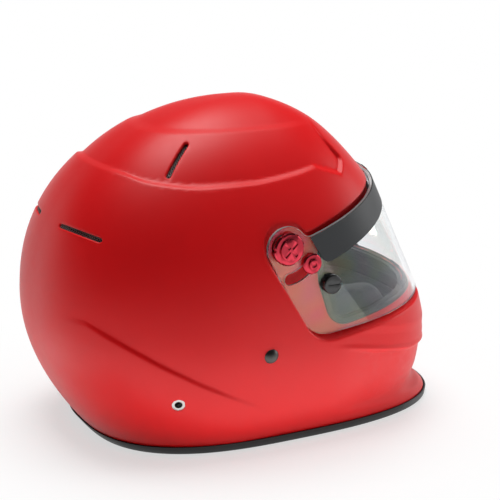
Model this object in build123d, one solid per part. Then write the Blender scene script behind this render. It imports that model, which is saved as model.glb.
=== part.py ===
"""Full-face auto racing helmet: shell, lining, hinged visor, chin strap and fittings.

Millimetres, +Z up, the wearer faces -Y, so the wearer's right is -X.
The origin is the bottom centre of the whole helmet, on the table that its edge trim rests on.
"""

from build123d import *
import math
import os

# Overall form of the shell. Levels are heights above the table.
total_height = 267.6
shell_width = 252.0
front_reach = 171.2
rear_reach = 179.6
rim_tuck = 26.0
rim_rear_tuck = 45.0
side_widest_level = 100.3
rear_widest_level = 108.4
side_dome_power = 2.01
rear_dome_power = 2.25
front_dome_power = 1.38
round_dome_root = 2.0
front_dome_root = 2.165
tuck_power = 2.0
rear_squareness = 2.71
front_squareness = 2.78
shell_wall = 4.2

# Chin and brow: share of the plain front reach, at shares of the total height.
front_form_shares = [
    (0.000, 0.984), (0.026, 0.986), (0.050, 0.955), (0.086, 0.908), (0.142, 0.940),
    (0.202, 0.967), (0.258, 0.994), (0.318, 1.000), (0.560, 1.000), (0.750, 0.985),
    (0.855, 0.978), (0.920, 0.988), (1.000, 1.000),
]

# Raised steps that run round the crown, as drops below its top.
upper_step_drop = 19.1
upper_step_depth = 1.7
lower_step_rear_drop = 44.6
lower_step_side_drop = 54.1
lower_step_front_drop = 48.1
lower_step_notch_depth = 7.5
lower_step_depth = 3.6
step_return_depth = 1.0
step_notch_from_widest = 44.0
step_notch_width = 26.0
step_front_from_widest = 46.0
step_front_drop = 27.6
lower_step_waist_from_widest = 50.0

# Visor and what it turns on. Places are taken from the pivot.
pivot_behind_widest = 12.6
pivot_drop = 102.1
visor_thickness = 3.0
visor_side_inset = 10.0
visor_front_setback = 60.8
visor_flat_reach = 18.0
visor_squareness = 2.35
visor_lean = 25.5
visor_top_drop = 2.0
visor_ear_radius = 17.3
visor_corner_ahead = 23.1
visor_corner_drop = 76.3
visor_corner_radius = 18.0
visor_bottom_rise_share = 0.119
visor_top_corner_ahead = 19.0
visor_ear_blend_radius = 7.0
visor_open_angle = 50.0
strip_thickness = 0.5
strip_height = 28.0
strip_end_ahead = 20.0
strip_corner_radius = 9.0

# Pocket in the shell that the visor lies in, and the eye port
visor_floor_gap = 3.4
pocket_margin = 2.0
port_top_drop = 20.0
port_top_ahead = 25.0
port_rear_ahead = 33.5
port_rear_drop = 31.5
port_corner_ahead = 45.5
port_corner_drop = 68.3
port_corner_radius = 15.0
port_top_corner_radius = 8.0
port_bottom_rise_share = 0.172
gasket_lip_thickness = 1.8
gasket_lip_width = 3.5
gasket_web = 2.0

# Hardware of the visor
pivot_cap_diameter = 26.0
pivot_cap_height = 3.6
pivot_hub_diameter = 17.4
pivot_hub_height = 2.2
pivot_stem_diameter = 12.0
pivot_stem_clearance = 0.4
pivot_cap_notch_count = 6
pivot_cap_notch_diameter = 2.4
pivot_spoke_width = 2.2
pivot_spoke_depth = 1.2
detent_radius = 25.2
detent_angle = 34.2
detent_head_diameter = 16.4
detent_head_height = 2.8
detent_tip_diameter = 8.4
detent_tip_height = 2.0
detent_stem_diameter = 8.4
detent_stem_clearance = 0.5
insert_diameter = 15.0
insert_thickness = 2.4
tearoff_ahead = 39.2
tearoff_drop = 32.8
tearoff_diameter = 15.6
tearoff_height = 4.2
tearoff_offset = 0.6
tearoff_stem_diameter = 5.0
tearoff_nut_diameter = 9.0
tearoff_nut_height = 1.0
tearoff_groove_depth = 0.9

# Side hardware of the shell, placed from the widest station
rivet_behind_widest = 31.0
rivet_level = 84.0
rivet_head_diameter = 12.0
rivet_head_height = 3.0
rivet_shank_diameter = 5.0
anchor_plate_width = 24.0
anchor_plate_length = 30.0
anchor_plate_thickness = 1.6
tether_behind_widest = 102.0
tether_level = 51.0
tether_flange_diameter = 10.4
tether_flange_height = 1.0
tether_body_width = 8.4
tether_body_length = 11.0
tether_thread_diameter = 6.0

# Vent slots
slot_width = 3.6
crown_slot_start_from_widest = 70.5
crown_slot_end_from_widest = 92.5
crown_slot_start_side = 56.0
crown_slot_end_side = 70.0
crown_slot_depth = 26.0
rear_slot_level = 179.0
rear_slot_inner_side = 24.0
rear_slot_outer_side = 68.0
rear_slot_rake = 1.5
rear_slot_depth = 30.0
mesh_thickness = 1.0

# Edge trim
trim_wall = 1.9
trim_height = 7.6
trim_floor = 1.6

# Lining
liner_thickness = 33.0
liner_lower_level = 104.0
comfort_thickness = 9.0
comfort_lower_level = 116.0
face_opening_behind_widest = 2.0
neck_roll_height = 37.0
neck_roll_lower_level = 14.0
neck_roll_thickness = 22.0
neck_roll_front_from_widest = 58.0
cheek_pad_thickness = 36.0
cheek_pad_lower_level = 22.0
cheek_pad_upper_level = 118.0
cheek_pad_front_from_widest = 92.0
cheek_pad_rear_from_widest = 2.0
cheek_pad_corner_radius = 16.0
chin_liner_thickness = 20.0
chin_liner_lower_level = 22.0
chin_liner_upper_level = 88.0
chin_liner_side_inset = 52.0

# Chin strap
strap_width = 22.0
strap_thickness = 1.8
strap_end_inset = 28.0
strap_end_level = 38.0
strap_bend_radius = 12.0
strap_upper_tail = 9.0
strap_drop = 18.0
long_strap_end_side = 12.0
long_strap_end_level = 20.0
d_ring_wire = 4.0
d_ring_thickness = 3.0
d_ring_width = 30.0
d_ring_length = 24.0
d_ring_spacing = 6.4

# Clearances and one overrun for every cut
fit_gap = 0.1
soft_gap = 0.3
running_gap = 0.6
overrun = 40.0
top_cap_angle = 87.5
section_points = 36
curve_points = 24
lower_section_shares = (0.026, 0.050, 0.086, 0.142, 0.202, 0.270, 0.340)
upper_section_count = 8

upper_step_level = total_height - upper_step_drop
lower_step_side_level = total_height - lower_step_side_drop
widest_y = (front_reach - rear_reach) / 2
pivot_y = widest_y + pivot_behind_widest
pivot_level = total_height - pivot_drop
visor_half_width = shell_width / 2 - visor_side_inset
visor_front_reach = front_reach + pivot_behind_widest - visor_front_setback
strap_end_side = shell_width / 2 - strap_end_inset
visor_floor = -(visor_thickness + visor_floor_gap)


def eased(table, share):
    """Smooth value of a table of (share, value) pairs, without overshoot between them."""
    slopes = [(b[1] - a[1]) / (b[0] - a[0]) for a, b in zip(table, table[1:])]
    tangents = [slopes[0]]
    for before, after in zip(slopes, slopes[1:]):
        level = before * after > 0
        tangents.append(2 * before * after / (before + after) if level else 0)
    tangents.append(slopes[-1])
    for index, (low, high) in enumerate(zip(table, table[1:])):
        if share <= high[0] or index == len(slopes) - 1:
            span = high[0] - low[0]
            t = min(max((share - low[0]) / span, 0), 1)
            rise = (1 - t) ** 2 * t * span * tangents[index]
            fall = t * t * (t - 1) * span * tangents[index + 1]
            return low[1] * (1 + 2 * t) * (1 - t) ** 2 + high[1] * t * t * (3 - 2 * t) + rise + fall


def meridian(level, reach, rim_reach, widest_level, power, root, inset):
    """Reach of the form at a level: tucked in below its widest level, domed above it."""
    reach, rim_reach, height = reach - inset, rim_reach - inset, total_height - inset
    if level < widest_level:
        tuck = (widest_level - level) / widest_level
        return reach - (reach - rim_reach) * tuck**tuck_power
    share = (level - widest_level) / (height - widest_level)
    return reach * (1 - min(share, 1) ** power) ** (1 / root)


def half_width(level, inset=0):
    return meridian(
        level, shell_width / 2, shell_width / 2 - rim_tuck, side_widest_level, side_dome_power, round_dome_root, inset
    )


def rear_depth(level, inset=0):
    return meridian(
        level, rear_reach, rear_reach - rim_rear_tuck, rear_widest_level, rear_dome_power, round_dome_root, inset
    )


def front_depth(level, inset=0):
    plain = meridian(level, front_reach, front_reach, 0, front_dome_power, front_dome_root, inset)
    return plain * eased(front_form_shares, max(level, 0) / total_height)


def section_point(level, angle, inset=0):
    """Point of a level section; angle 0 is the wearer's left, 90 degrees the back."""
    c, s = math.cos(angle), math.sin(angle)
    squareness = rear_squareness if s > 0 else front_squareness
    depth = rear_depth(level, inset) if s > 0 else front_depth(level, inset)
    size = (abs(c) ** squareness + abs(s) ** squareness) ** (1 / squareness)
    return half_width(level, inset) * c / size, widest_y + depth * s / size


def section(level, inset):
    """Closed curve round the form; every section has the same knots, so that lofts stay light."""
    shares = [index / section_points for index in range(section_points + 1)]
    points = []
    for index in range(section_points):
        x, y = section_point(level, math.tau * (index + 0.5) / section_points, inset)
        points.append((x, y, level))
    return Wire([Edge.make_spline([Vector(*p) for p in points], periodic=True, parameters=shares)])


def form(inset, low=0, extra_inset=None):
    """Closed solid of the helmet form above a level, drawn in by inset and by what a level adds."""
    extra = extra_inset or (lambda level: 0)
    top = total_height - inset - extra(total_height)
    levels = [low] + [s * total_height for s in lower_section_shares if s * total_height > low]
    first = max(low, lower_section_shares[-1] * total_height)
    for index in range(1, upper_section_count + 1):
        turn = math.radians(top_cap_angle) * index / upper_section_count
        levels.append(first + (top - first) * math.sin(turn))
    return Solid.make_loft([section(level, inset + extra(level)) for level in levels])


def slab(low, high):
    """Layer between two levels, wider than the helmet."""
    return Pos(0, 0, (low + high) / 2) * Box(2 * shell_width, 4 * rear_reach, high - low)


def surface_x(behind_widest, level, inset=0):
    """Half width of the form at a place along the side."""
    depth = rear_depth(level, inset) if behind_widest > 0 else front_depth(level, inset)
    squareness = rear_squareness if behind_widest > 0 else front_squareness
    share = (abs(behind_widest) / depth) ** squareness
    return half_width(level, inset) * (1 - share) ** (1 / squareness)


def side_plane(behind_widest, level):
    """Plane on the left outer surface, its normal pointing out and its x axis level."""
    step = fit_gap
    along = surface_x(behind_widest + step, level) - surface_x(behind_widest - step, level)
    upward = surface_x(behind_widest, level + step) - surface_x(behind_widest, level - step)
    normal = Vector(2 * step, -along, -upward)
    origin = (surface_x(behind_widest, level), widest_y + behind_widest, level)
    return Plane(origin=origin, x_dir=(-normal.Y, normal.X, 0), z_dir=normal)


def pivot_plane(ahead, drop, offset=0):
    """Plane on the left outer face of the visor's flat side, or offset mm outside it."""
    origin = (visor_half_width + offset, pivot_y - ahead, pivot_level - drop)
    return Plane(origin=origin, x_dir=(0, 1, 0), z_dir=(1, 0, 0))


def disc(plane, diameter, low, high):
    """Cylinder on a plane's normal, from low to high along it."""
    height = high - low
    return plane * Pos(0, 0, low + height / 2) * Cylinder(diameter / 2, height)


def hexagon(plane, width, low, high):
    """Six sided prism on a plane's normal, by its width across flats."""
    face = RegularPolygon(width / 2, 6, major_radius=False)
    return extrude(plane * Pos(0, 0, low) * face, amount=high - low)


def other_side(shape):
    return mirror(shape, about=Plane.YZ)


def sheet_place(across, along):
    """Place in the side view, across the visor from the pivot line and along its lean."""
    lean = math.radians(visor_lean)
    y = pivot_y - across * math.cos(lean) + along * math.sin(lean)
    return y, pivot_level + across * math.sin(lean) + along * math.cos(lean)


def sheet_interior(offset):
    """Solid inside the visor's single curved sheet, offset outwards or, if negative, inwards."""
    lean = math.radians(visor_lean)
    half, reach = visor_half_width + offset, visor_front_reach + offset
    points = []
    for index in range(curve_points + 1):
        turn = math.pi * index / curve_points
        c, s = math.cos(turn), math.sin(turn)
        size = (abs(c) ** visor_squareness + abs(s) ** visor_squareness) ** (1 / visor_squareness)
        points.append((half * c / size, -visor_flat_reach - (reach - visor_flat_reach) * s / size))
    front = Edge.make_spline([Vector(*p) for p in points], tangents=[Vector(0, -1), Vector(0, 1)])
    back = rear_reach + overrun
    sides = Polyline(points[-1], (-half, back), (half, back), points[0])
    plane = Plane(
        origin=(0, pivot_y, pivot_level), x_dir=(1, 0, 0), z_dir=(0, math.sin(lean), math.cos(lean))
    )
    return extrude(plane * make_face([front, *sides.edges()]), amount=total_height, both=True)


def rounded(face, corners):
    """Face with the corners nearest to the given places rounded."""
    for place, radius in corners:
        corner = face.vertices().sort_by_distance((*place, 0))[0]
        face = fillet(corner, radius)
    return face


def tangent_point(place, side):
    """Point where a line from a place touches the round ear of the visor."""
    y, level = pivot_y - place[0], pivot_level - place[1]
    distance = math.hypot(y, level)
    reach = math.sqrt(distance**2 - visor_ear_radius**2)
    turn = math.atan2(level, y) + side * math.asin(visor_ear_radius / distance)
    return place[0] + reach * math.cos(turn), place[1] + reach * math.sin(turn)


def visor_outline(grow=0):
    """Side view of the visor, run out past its front."""
    corner = (pivot_y - visor_corner_ahead, pivot_level - visor_corner_drop)
    run = front_reach + overrun
    bottom_front = (corner[0] - run, corner[1] + run * visor_bottom_rise_share)
    top_front = sheet_place(visor_front_reach + run, -visor_top_drop)
    top_rear = sheet_place(visor_top_corner_ahead, -visor_top_drop)
    rear, upper = tangent_point(corner, -1), tangent_point(top_rear, 1)
    body = make_face(Polyline(rear, corner, bottom_front, top_front, top_rear, upper, close=True))
    ear = Pos(pivot_y, pivot_level) * Circle(visor_ear_radius)
    face = rounded(body + ear, [(corner, visor_corner_radius), (top_rear, visor_ear_blend_radius)])
    return offset(face, amount=grow) if grow else face


def port_outline(grow=0):
    """Side view of the eye port, run out past the front."""
    run = front_reach + overrun
    top_rear = sheet_place(port_top_ahead, -port_top_drop)
    top_front = sheet_place(visor_front_reach + run, -port_top_drop)
    rear = (pivot_y - port_rear_ahead, pivot_level - port_rear_drop)
    corner = (pivot_y - port_corner_ahead, pivot_level - port_corner_drop)
    bottom_front = (corner[0] - run, corner[1] + run * port_bottom_rise_share)
    face = make_face(Polyline(top_rear, rear, corner, bottom_front, top_front, close=True))
    face = rounded(face, [(top_rear, port_top_corner_radius), (corner, port_corner_radius)])
    return offset(face, amount=grow) if grow else face


def through(face):
    """Prism right through the helmet over a face drawn in the side view."""
    return extrude(Plane.YZ * face, amount=shell_width, both=True)


def slot_frame(start, end):
    """Plane in the middle of a vent slot, x along it and its normal pointing out."""
    start, end = Vector(*start), Vector(*end)
    middle = (start + end) / 2
    outward = middle - Vector(0, widest_y, side_widest_level)
    along = (end - start).normalized()
    outward = outward - along * outward.dot(along)
    return Plane(origin=middle, x_dir=along, z_dir=outward), (end - start).length


def slot_solid(start, end, gap, low, high):
    plane, length = slot_frame(start, end)
    face = SlotOverall(length + slot_width - 2 * gap, slot_width - 2 * gap)
    return extrude(plane * Pos(0, 0, low) * face, amount=high - low)


def crown_slot_ends():
    places = [
        (crown_slot_start_side, crown_slot_start_from_widest), (crown_slot_end_side, crown_slot_end_from_widest)
    ]
    return [(x, widest_y + y, surface_level(x, y)) for x, y in places]


def surface_level(x, behind_widest):
    """Height of the crown over a place in the plan, found by halving."""
    low, high = side_widest_level, total_height
    for _ in range(40):
        middle = (low + high) / 2
        depth = rear_depth(middle)
        inside = (x / half_width(middle)) ** rear_squareness + (behind_widest / depth) ** rear_squareness < 1
        low, high = (middle, high) if inside else (low, middle)
    return low


def rear_slot_ends():
    ends = []
    for x, rise in [(rear_slot_inner_side, rear_slot_rake), (rear_slot_outer_side, -rear_slot_rake)]:
        level = rear_slot_level + rise
        share = (x / half_width(level)) ** rear_squareness
        ends.append((x, widest_y + rear_depth(level) * (1 - share) ** (1 / rear_squareness), level))
    return ends


def step_line():
    """Edges of the lower step in the side view, from behind the helmet to its front return."""
    back = widest_y + rear_reach
    notch = widest_y - step_notch_from_widest
    front = (widest_y - step_front_from_widest, total_height - step_front_drop)
    shoulder_level = total_height - lower_step_front_drop
    rear_level = total_height - lower_step_rear_drop
    shoulder = (notch + step_notch_width / 2, shoulder_level)
    waist = (widest_y + lower_step_waist_from_widest, lower_step_side_level)
    rear = (back + overrun, rear_level)
    sweep = Spline(rear, (back - lower_step_waist_from_widest, rear_level), waist, shoulder)
    zigzag = Polyline(
        shoulder,
        (notch, shoulder_level - lower_step_notch_depth),
        (notch - step_notch_width / 2, shoulder_level),
        front,
        (front[0] + step_return_depth, total_height + overrun),
        (rear[0], total_height + overrun),
        rear,
    )
    return make_face([*sweep.edges(), *zigzag.edges()])


def level_share(level, low, high):
    return min(max((level - low) / (high - low), 0), 1)


def low_inset(level):
    """The lowest layer runs on above the crown, so that the steps can be cut out of it."""
    return -2 * upper_step_depth * level_share(level, upper_step_level, total_height)


def middle_inset(level):
    share = level_share(level, lower_step_side_level, upper_step_level)
    depth = lower_step_depth + (step_return_depth - lower_step_depth) * share
    return depth + low_inset(level) * step_return_depth / upper_step_depth


def crown_inset(level):
    return (step_return_depth + upper_step_depth) * (1 - level_share(level, upper_step_level, total_height))


def lining_allowance(level):
    """Extra inset of the inner surface, so that the wall keeps its thickness behind the steps."""
    return lower_step_depth * level_share(level, pivot_level, lower_step_side_level)


def above(level):
    return slab(level, total_height + overrun)


def helmet_form():
    """Outside of the shell without its openings: two steps are cut in towards the crown."""
    lower_cut = through(step_line()) - form(0, pivot_level, middle_inset)
    upper_cut = above(upper_step_level) - form(0, lower_step_side_level, crown_inset)
    return form(0, 0, low_inset) - lower_cut - upper_cut


def inner_form(inset):
    return form(inset, 0, lining_allowance)


def pocket(grow, floor):
    """Space that the visor lies in: outside its sheet, within its outline."""
    return through(visor_outline(grow)) - sheet_interior(floor)


def swing_relief():
    """Flat beside the ear, under what the visor's upper corner sweeps as it lifts."""
    reach = 2 * visor_top_corner_ahead
    wedge = make_face(Polyline((0, 0), (-2 * reach, 0), (-reach, 2 * reach), close=True))
    plane = pivot_plane(0, 0, -visor_thickness - running_gap)
    return extrude(plane * (Circle(reach) & wedge), amount=overrun)


def both_sides(shapes):
    return [*shapes, *(other_side(shape) for shape in shapes)]


def make_shell():
    hollow = inner_form(shell_wall) - pocket(pocket_margin + shell_wall, visor_floor - shell_wall)
    reach = shell_wall + visor_thickness + visor_floor_gap
    stem_hole = pivot_stem_diameter + 2 * pivot_stem_clearance
    detent_hole = detent_stem_diameter + 2 * fit_gap
    holes = [
        disc(pivot_plane(0, 0), stem_hole, -reach - overrun, overrun),
        disc(pivot_plane(*detent_place()), detent_hole, -reach - overrun, overrun),
        disc(side_plane(rivet_behind_widest, rivet_level), rivet_shank_diameter, -overrun / 2, overrun),
        hexagon(side_plane(tether_behind_widest, tether_level), tether_body_width, -overrun / 2, overrun),
        swing_relief(),
        slot_solid(*crown_slot_ends(), 0, -crown_slot_depth / 2, crown_slot_depth),
        slot_solid(*rear_slot_ends(), 0, -rear_slot_depth / 2, rear_slot_depth),
    ]
    foot = slab(-overrun, trim_floor)
    shell = helmet_form() - pocket(pocket_margin, visor_floor) - hollow - foot
    return shell - through(port_outline()) - both_sides(holes)


def make_trim():
    """Rubber channel pushed over the bottom edge of the shell."""
    channel = (form(-trim_wall) & slab(0, trim_height)) - form(shell_wall + trim_wall)
    return channel - ((form(-soft_gap) & slab(trim_floor, total_height)) - form(shell_wall + soft_gap))


def make_gasket():
    """Rubber seal round the eye port: a web in the cut edge and a lip on the pocket floor."""
    hole = through(port_outline(-gasket_web))
    depth = visor_floor - shell_wall - gasket_web
    web = through(port_outline(-fit_gap)) - hole - sheet_interior(depth)
    lip = through(port_outline(gasket_lip_width)) - hole - sheet_interior(visor_floor + fit_gap)
    return (web + lip) & sheet_interior(visor_floor + gasket_lip_thickness)


def lining_cut(lift=0):
    """Side view of what the lining leaves free: below its edge, which drops towards the nape."""
    front = widest_y - front_reach - overrun
    bend = widest_y + neck_roll_front_from_widest - neck_roll_thickness
    nape = widest_y + neck_roll_front_from_widest + neck_roll_thickness
    low = liner_lower_level + lift
    rear = low - neck_roll_height
    pad_top = cheek_pad_upper_level + soft_gap + lift
    pad_rear = widest_y - cheek_pad_rear_from_widest + soft_gap
    back = widest_y + rear_reach + overrun
    return make_face(Polyline(
        (front, pad_top), (pad_rear, pad_top), (pad_rear, low), (bend, low), (nape, rear), (back, rear),
        (back, -overrun), (front, -overrun), close=True
    ))


def make_lining(outer_inset, inner_inset, lift, port_gap):
    lining = inner_form(outer_inset) - inner_form(inner_inset) - through(lining_cut(lift))
    lining = lining - through(port_outline(port_gap))
    return lining - pocket(pocket_margin + outer_inset + soft_gap, visor_floor - outer_inset)


def make_impact_liner():
    liner = make_lining(shell_wall + soft_gap, shell_wall + liner_thickness, 0, shell_wall + gasket_web)
    depth = visor_floor - shell_wall - soft_gap - insert_thickness
    recesses = [
        disc(pivot_plane(0, 0), pivot_insert_diameter() + 2 * soft_gap, depth - soft_gap, 0),
        disc(pivot_plane(*detent_place()), insert_diameter + 2 * soft_gap, depth - soft_gap, 0),
        slot_solid(*crown_slot_ends(), -soft_gap, -crown_slot_depth, crown_slot_depth),
        slot_solid(*rear_slot_ends(), -soft_gap, -crown_slot_depth, crown_slot_depth),
    ]
    return liner - both_sides(recesses)


def make_comfort_liner():
    inset = shell_wall + liner_thickness + soft_gap
    lift = comfort_lower_level - liner_lower_level
    return make_lining(inset, inset + comfort_thickness, lift, shell_wall + comfort_thickness)


def cheek_pad():
    rear = widest_y - cheek_pad_rear_from_widest
    front = widest_y - cheek_pad_front_from_widest
    length, height = rear - front, cheek_pad_upper_level - cheek_pad_lower_level
    centre = ((rear + front) / 2, (cheek_pad_upper_level + cheek_pad_lower_level) / 2)
    outline = Pos(*centre) * RectangleRounded(length, height, cheek_pad_corner_radius)
    inner_face = visor_half_width + visor_floor - shell_wall - soft_gap - cheek_pad_thickness
    block = extrude(Plane.YZ.offset(inner_face) * outline, amount=shell_width / 2)
    block = fillet(block.faces().sort_by(Axis.X)[0].edges(), cheek_pad_corner_radius * 3 / 4)
    depth = visor_floor - shell_wall - soft_gap
    seal = through(port_outline(gasket_web)) - sheet_interior(depth - gasket_web)
    block = block & inner_form(shell_wall + soft_gap)
    return block - pocket(pocket_margin + shell_wall + soft_gap, depth) - seal


def make_chin_liner():
    inset = shell_wall + soft_gap
    depth = front_reach
    y = widest_y - cheek_pad_front_from_widest - soft_gap - depth / 2
    level = (chin_liner_lower_level + chin_liner_upper_level) / 2
    height = chin_liner_upper_level - chin_liner_lower_level
    pad = inner_form(inset) & (Pos(0, y, level) * Box(shell_width - 2 * chin_liner_side_inset, depth, height))
    pad = pad - inner_form(inset + chin_liner_thickness)
    pad = pad - pocket(pocket_margin + inset, visor_floor - inset)
    return pad - through(port_outline(2 * gasket_web + soft_gap))


def make_neck_roll():
    inset = shell_wall + soft_gap
    depth, height = rear_reach, tether_level / 2
    y = widest_y + neck_roll_front_from_widest + depth / 2
    box = Pos(0, y, neck_roll_lower_level + height / 2) * Box(2 * shell_width, depth, height)
    return (inner_form(inset) & box) - inner_form(inset + neck_roll_thickness)


def detent_place():
    turn = math.radians(detent_angle)
    return detent_radius * math.cos(turn), detent_radius * math.sin(turn)


def make_visor():
    """Clear sheet with its pivot holes, arc slots for the detent posts and tear-off post holes."""
    visor = (sheet_interior(0) - sheet_interior(-visor_thickness)) & through(visor_outline())
    pivot = pivot_plane(0, 0)
    low = -visor_thickness - visor_floor_gap
    path = CenterArc((0, 0), detent_radius, 180 + detent_angle, visor_open_angle)
    slot = SlotArc(path, detent_stem_diameter + 2 * detent_stem_clearance)
    holes = [
        disc(pivot, pivot_stem_diameter + 2 * pivot_stem_clearance, low, overrun),
        extrude(pivot * Pos(0, 0, low) * slot, amount=overrun),
        disc(pivot_plane(tearoff_ahead, tearoff_drop), tearoff_stem_diameter + 2 * fit_gap, low, overrun),
    ]
    return visor - both_sides(holes)


def make_strip():
    """Dark sun strip along the top edge of the visor, rounded off before the ears."""
    run = front_reach + overrun
    top_rear = sheet_place(strip_end_ahead, -visor_top_drop)
    low_rear = sheet_place(strip_end_ahead + strip_corner_radius / 3, -visor_top_drop - strip_height)
    top_front = sheet_place(visor_front_reach + run, -visor_top_drop)
    low_front = sheet_place(visor_front_reach + run, -visor_top_drop - strip_height)
    face = make_face(Polyline(top_rear, low_rear, low_front, top_front, close=True))
    face = rounded(face, [(low_rear, strip_corner_radius)])
    return (sheet_interior(strip_thickness) - sheet_interior(0)) & through(face)


def make_pivot_cap():
    """Turned cap with a spoked hub and rim notches, on the stem that carries the visor."""
    plane = pivot_plane(0, 0, soft_gap)
    inner_end = visor_floor - shell_wall - insert_thickness
    flange = disc(plane, pivot_cap_diameter, 0, pivot_cap_height)
    flange = chamfer(flange.faces().sort_by(Axis.X)[-1].edges(), pivot_cap_height / 3)
    top = pivot_cap_height + pivot_hub_height
    cap = flange + disc(plane, pivot_hub_diameter, pivot_cap_height, top)
    for index in range(4):
        spoke = Rot(0, 0, 45 + 90 * index) * Pos(pivot_hub_diameter / 4, 0, top - pivot_spoke_depth / 2)
        cap -= plane * spoke * Box(pivot_hub_diameter / 3, pivot_spoke_width, pivot_spoke_depth)
    for index in range(pivot_cap_notch_count):
        turn = math.tau * index / pivot_cap_notch_count
        place = Pos(pivot_cap_diameter / 2 * math.cos(turn), pivot_cap_diameter / 2 * math.sin(turn))
        cap -= plane * place * Cylinder(pivot_cap_notch_diameter / 2, 3 * pivot_cap_height)
    return cap + disc(plane, pivot_stem_diameter, inner_end - soft_gap, 0)


def ring(plane, outer, inner, low, high):
    return disc(plane, outer, low, high) - disc(plane, inner, low - fit_gap, high + fit_gap)


def make_pivot_spacer():
    outer = pivot_stem_diameter + insert_diameter * 2 / 3
    inner = pivot_stem_diameter + 2 * fit_gap
    return ring(pivot_plane(0, 0), outer, inner, visor_floor + fit_gap, -visor_thickness - soft_gap)


def pivot_insert_diameter():
    return pivot_stem_diameter + 2 * insert_thickness


def make_pivot_insert():
    inner = pivot_stem_diameter + 2 * fit_gap
    high = visor_floor - shell_wall - fit_gap
    return ring(pivot_plane(0, 0), pivot_insert_diameter(), inner, high - insert_thickness, high)


def make_detent_post():
    """Post that the visor's arc slot runs on, with a stepped head."""
    plane = pivot_plane(*detent_place(), soft_gap)
    head = disc(plane, detent_head_diameter, 0, detent_head_height)
    head = chamfer(head.faces().sort_by(Axis.X)[-1].edges(), detent_head_height / 3)
    top = detent_head_height + detent_tip_height
    tip = disc(plane, detent_tip_diameter, detent_head_height, top)
    socket = disc(plane, detent_tip_diameter / 2, top - detent_tip_height / 2, top + overrun)
    inner_end = visor_floor - shell_wall - insert_thickness - soft_gap
    return head + tip - socket + disc(plane, detent_stem_diameter, inner_end, 0)


def make_detent_insert():
    inner = detent_stem_diameter + 2 * fit_gap
    high = visor_floor - shell_wall - fit_gap
    plane = pivot_plane(*detent_place())
    return ring(plane, insert_diameter, inner, high - insert_thickness, high)


def make_tearoff_post():
    """Waisted post on the visor; its rim is off centre, so a turn tightens the tear-off film."""
    plane = pivot_plane(tearoff_ahead, tearoff_drop, fit_gap)
    waist = tearoff_height / 3
    foot = disc(plane, tearoff_diameter * 3 / 4, 0, waist)
    head = disc(plane * Pos(tearoff_offset, 0, 0), tearoff_diameter, waist, tearoff_height)
    head = chamfer(head.faces().sort_by(Axis.X)[-1].edges(), waist / 2)
    finger = plane * Pos(0, 0, tearoff_height) * Box(tearoff_diameter * 2 / 3, tearoff_groove_depth, waist)
    inner_end = -visor_thickness - tearoff_nut_height - soft_gap
    return foot + head - finger + disc(plane, tearoff_stem_diameter, inner_end, 0)


def make_tearoff_nut():
    plane = pivot_plane(tearoff_ahead, tearoff_drop)
    high = -visor_thickness - soft_gap
    inner = tearoff_stem_diameter + 2 * fit_gap
    return ring(plane, tearoff_nut_diameter, inner, high - tearoff_nut_height, high)


def make_rivet():
    """Domed rivet through the shell, the anchor plate and the strap, with a flat tail inside."""
    plane = side_plane(rivet_behind_widest, rivet_level)
    radius = rivet_head_diameter / 2
    dome_radius = (radius**2 + rivet_head_height**2) / (2 * rivet_head_height)
    dome = plane * Pos(0, 0, rivet_head_height - dome_radius) * Sphere(dome_radius)
    head = dome & disc(plane, 2 * rivet_head_diameter, fit_gap, rivet_head_height + overrun)
    tail = anchor_depth() - strap_thickness - 4 * soft_gap
    shank = disc(plane, rivet_shank_diameter - 2 * fit_gap, tail, soft_gap)
    return head + shank + disc(plane, rivet_head_diameter, tail - anchor_plate_thickness, tail)


def anchor_depth():
    """Depth of the anchor plate's inner face below the outer surface of the shell."""
    bow = anchor_plate_width**2 / (4 * shell_width)
    return -shell_wall - bow - anchor_plate_thickness - soft_gap


def make_anchor_plate():
    plane = side_plane(rivet_behind_widest, rivet_level)
    face = RectangleRounded(anchor_plate_width, anchor_plate_length, anchor_plate_width / 4)
    face -= Circle(rivet_shank_diameter / 2)
    return extrude(plane * Pos(0, 0, anchor_depth()) * face, amount=anchor_plate_thickness)


def strap_start():
    """Top of the strap's tab and the middle of its face under the rivet, in the front view."""
    plane = side_plane(rivet_behind_widest, rivet_level)
    depth = anchor_depth() - 2 * soft_gap - strap_thickness / 2
    top = plane.from_local_coords((0, rivet_shank_diameter + strap_upper_tail, depth))
    low = plane.from_local_coords((0, -strap_drop, depth))
    return (top.X, top.Z), (low.X, low.Z)


def strap_band(points, radius):
    """Webbing of even thickness along a route in the front view, as wide as the strap."""
    middle = Plane.XZ.offset(-(widest_y + rivet_behind_widest) - strap_width / 2)
    route = FilletPolyline(*points, radius=radius)
    band = trace(route, strap_thickness)
    shank = disc(side_plane(rivet_behind_widest, rivet_level), rivet_shank_diameter, -overrun, overrun)
    return extrude(middle * band, amount=strap_width) - shank


def d_ring_place(index):
    return strap_end_side + d_ring_spacing * (index - 0.5), strap_end_level


def make_short_strap():
    """Left strap, ending in the sewn loop that holds both rings."""
    top, low = strap_start()
    band = strap_band([top, low, (strap_end_side, strap_end_level + d_ring_wire)], strap_bend_radius)
    y = widest_y + rivet_behind_widest
    loop_plane = Plane(origin=(strap_end_side, y, strap_end_level), x_dir=(1, 0, 0), z_dir=(0, 1, 0))
    room = d_ring_wire + 2 * running_gap
    outer = SlotOverall(d_ring_spacing + room + 2 * strap_thickness, room + 2 * strap_thickness)
    loop = outer - SlotOverall(d_ring_spacing + room, room)
    bore = extrude(loop_plane * SlotOverall(d_ring_spacing + room, room), amount=strap_width, both=True)
    return band - bore + extrude(loop_plane * loop, amount=strap_width / 2, both=True)


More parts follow.
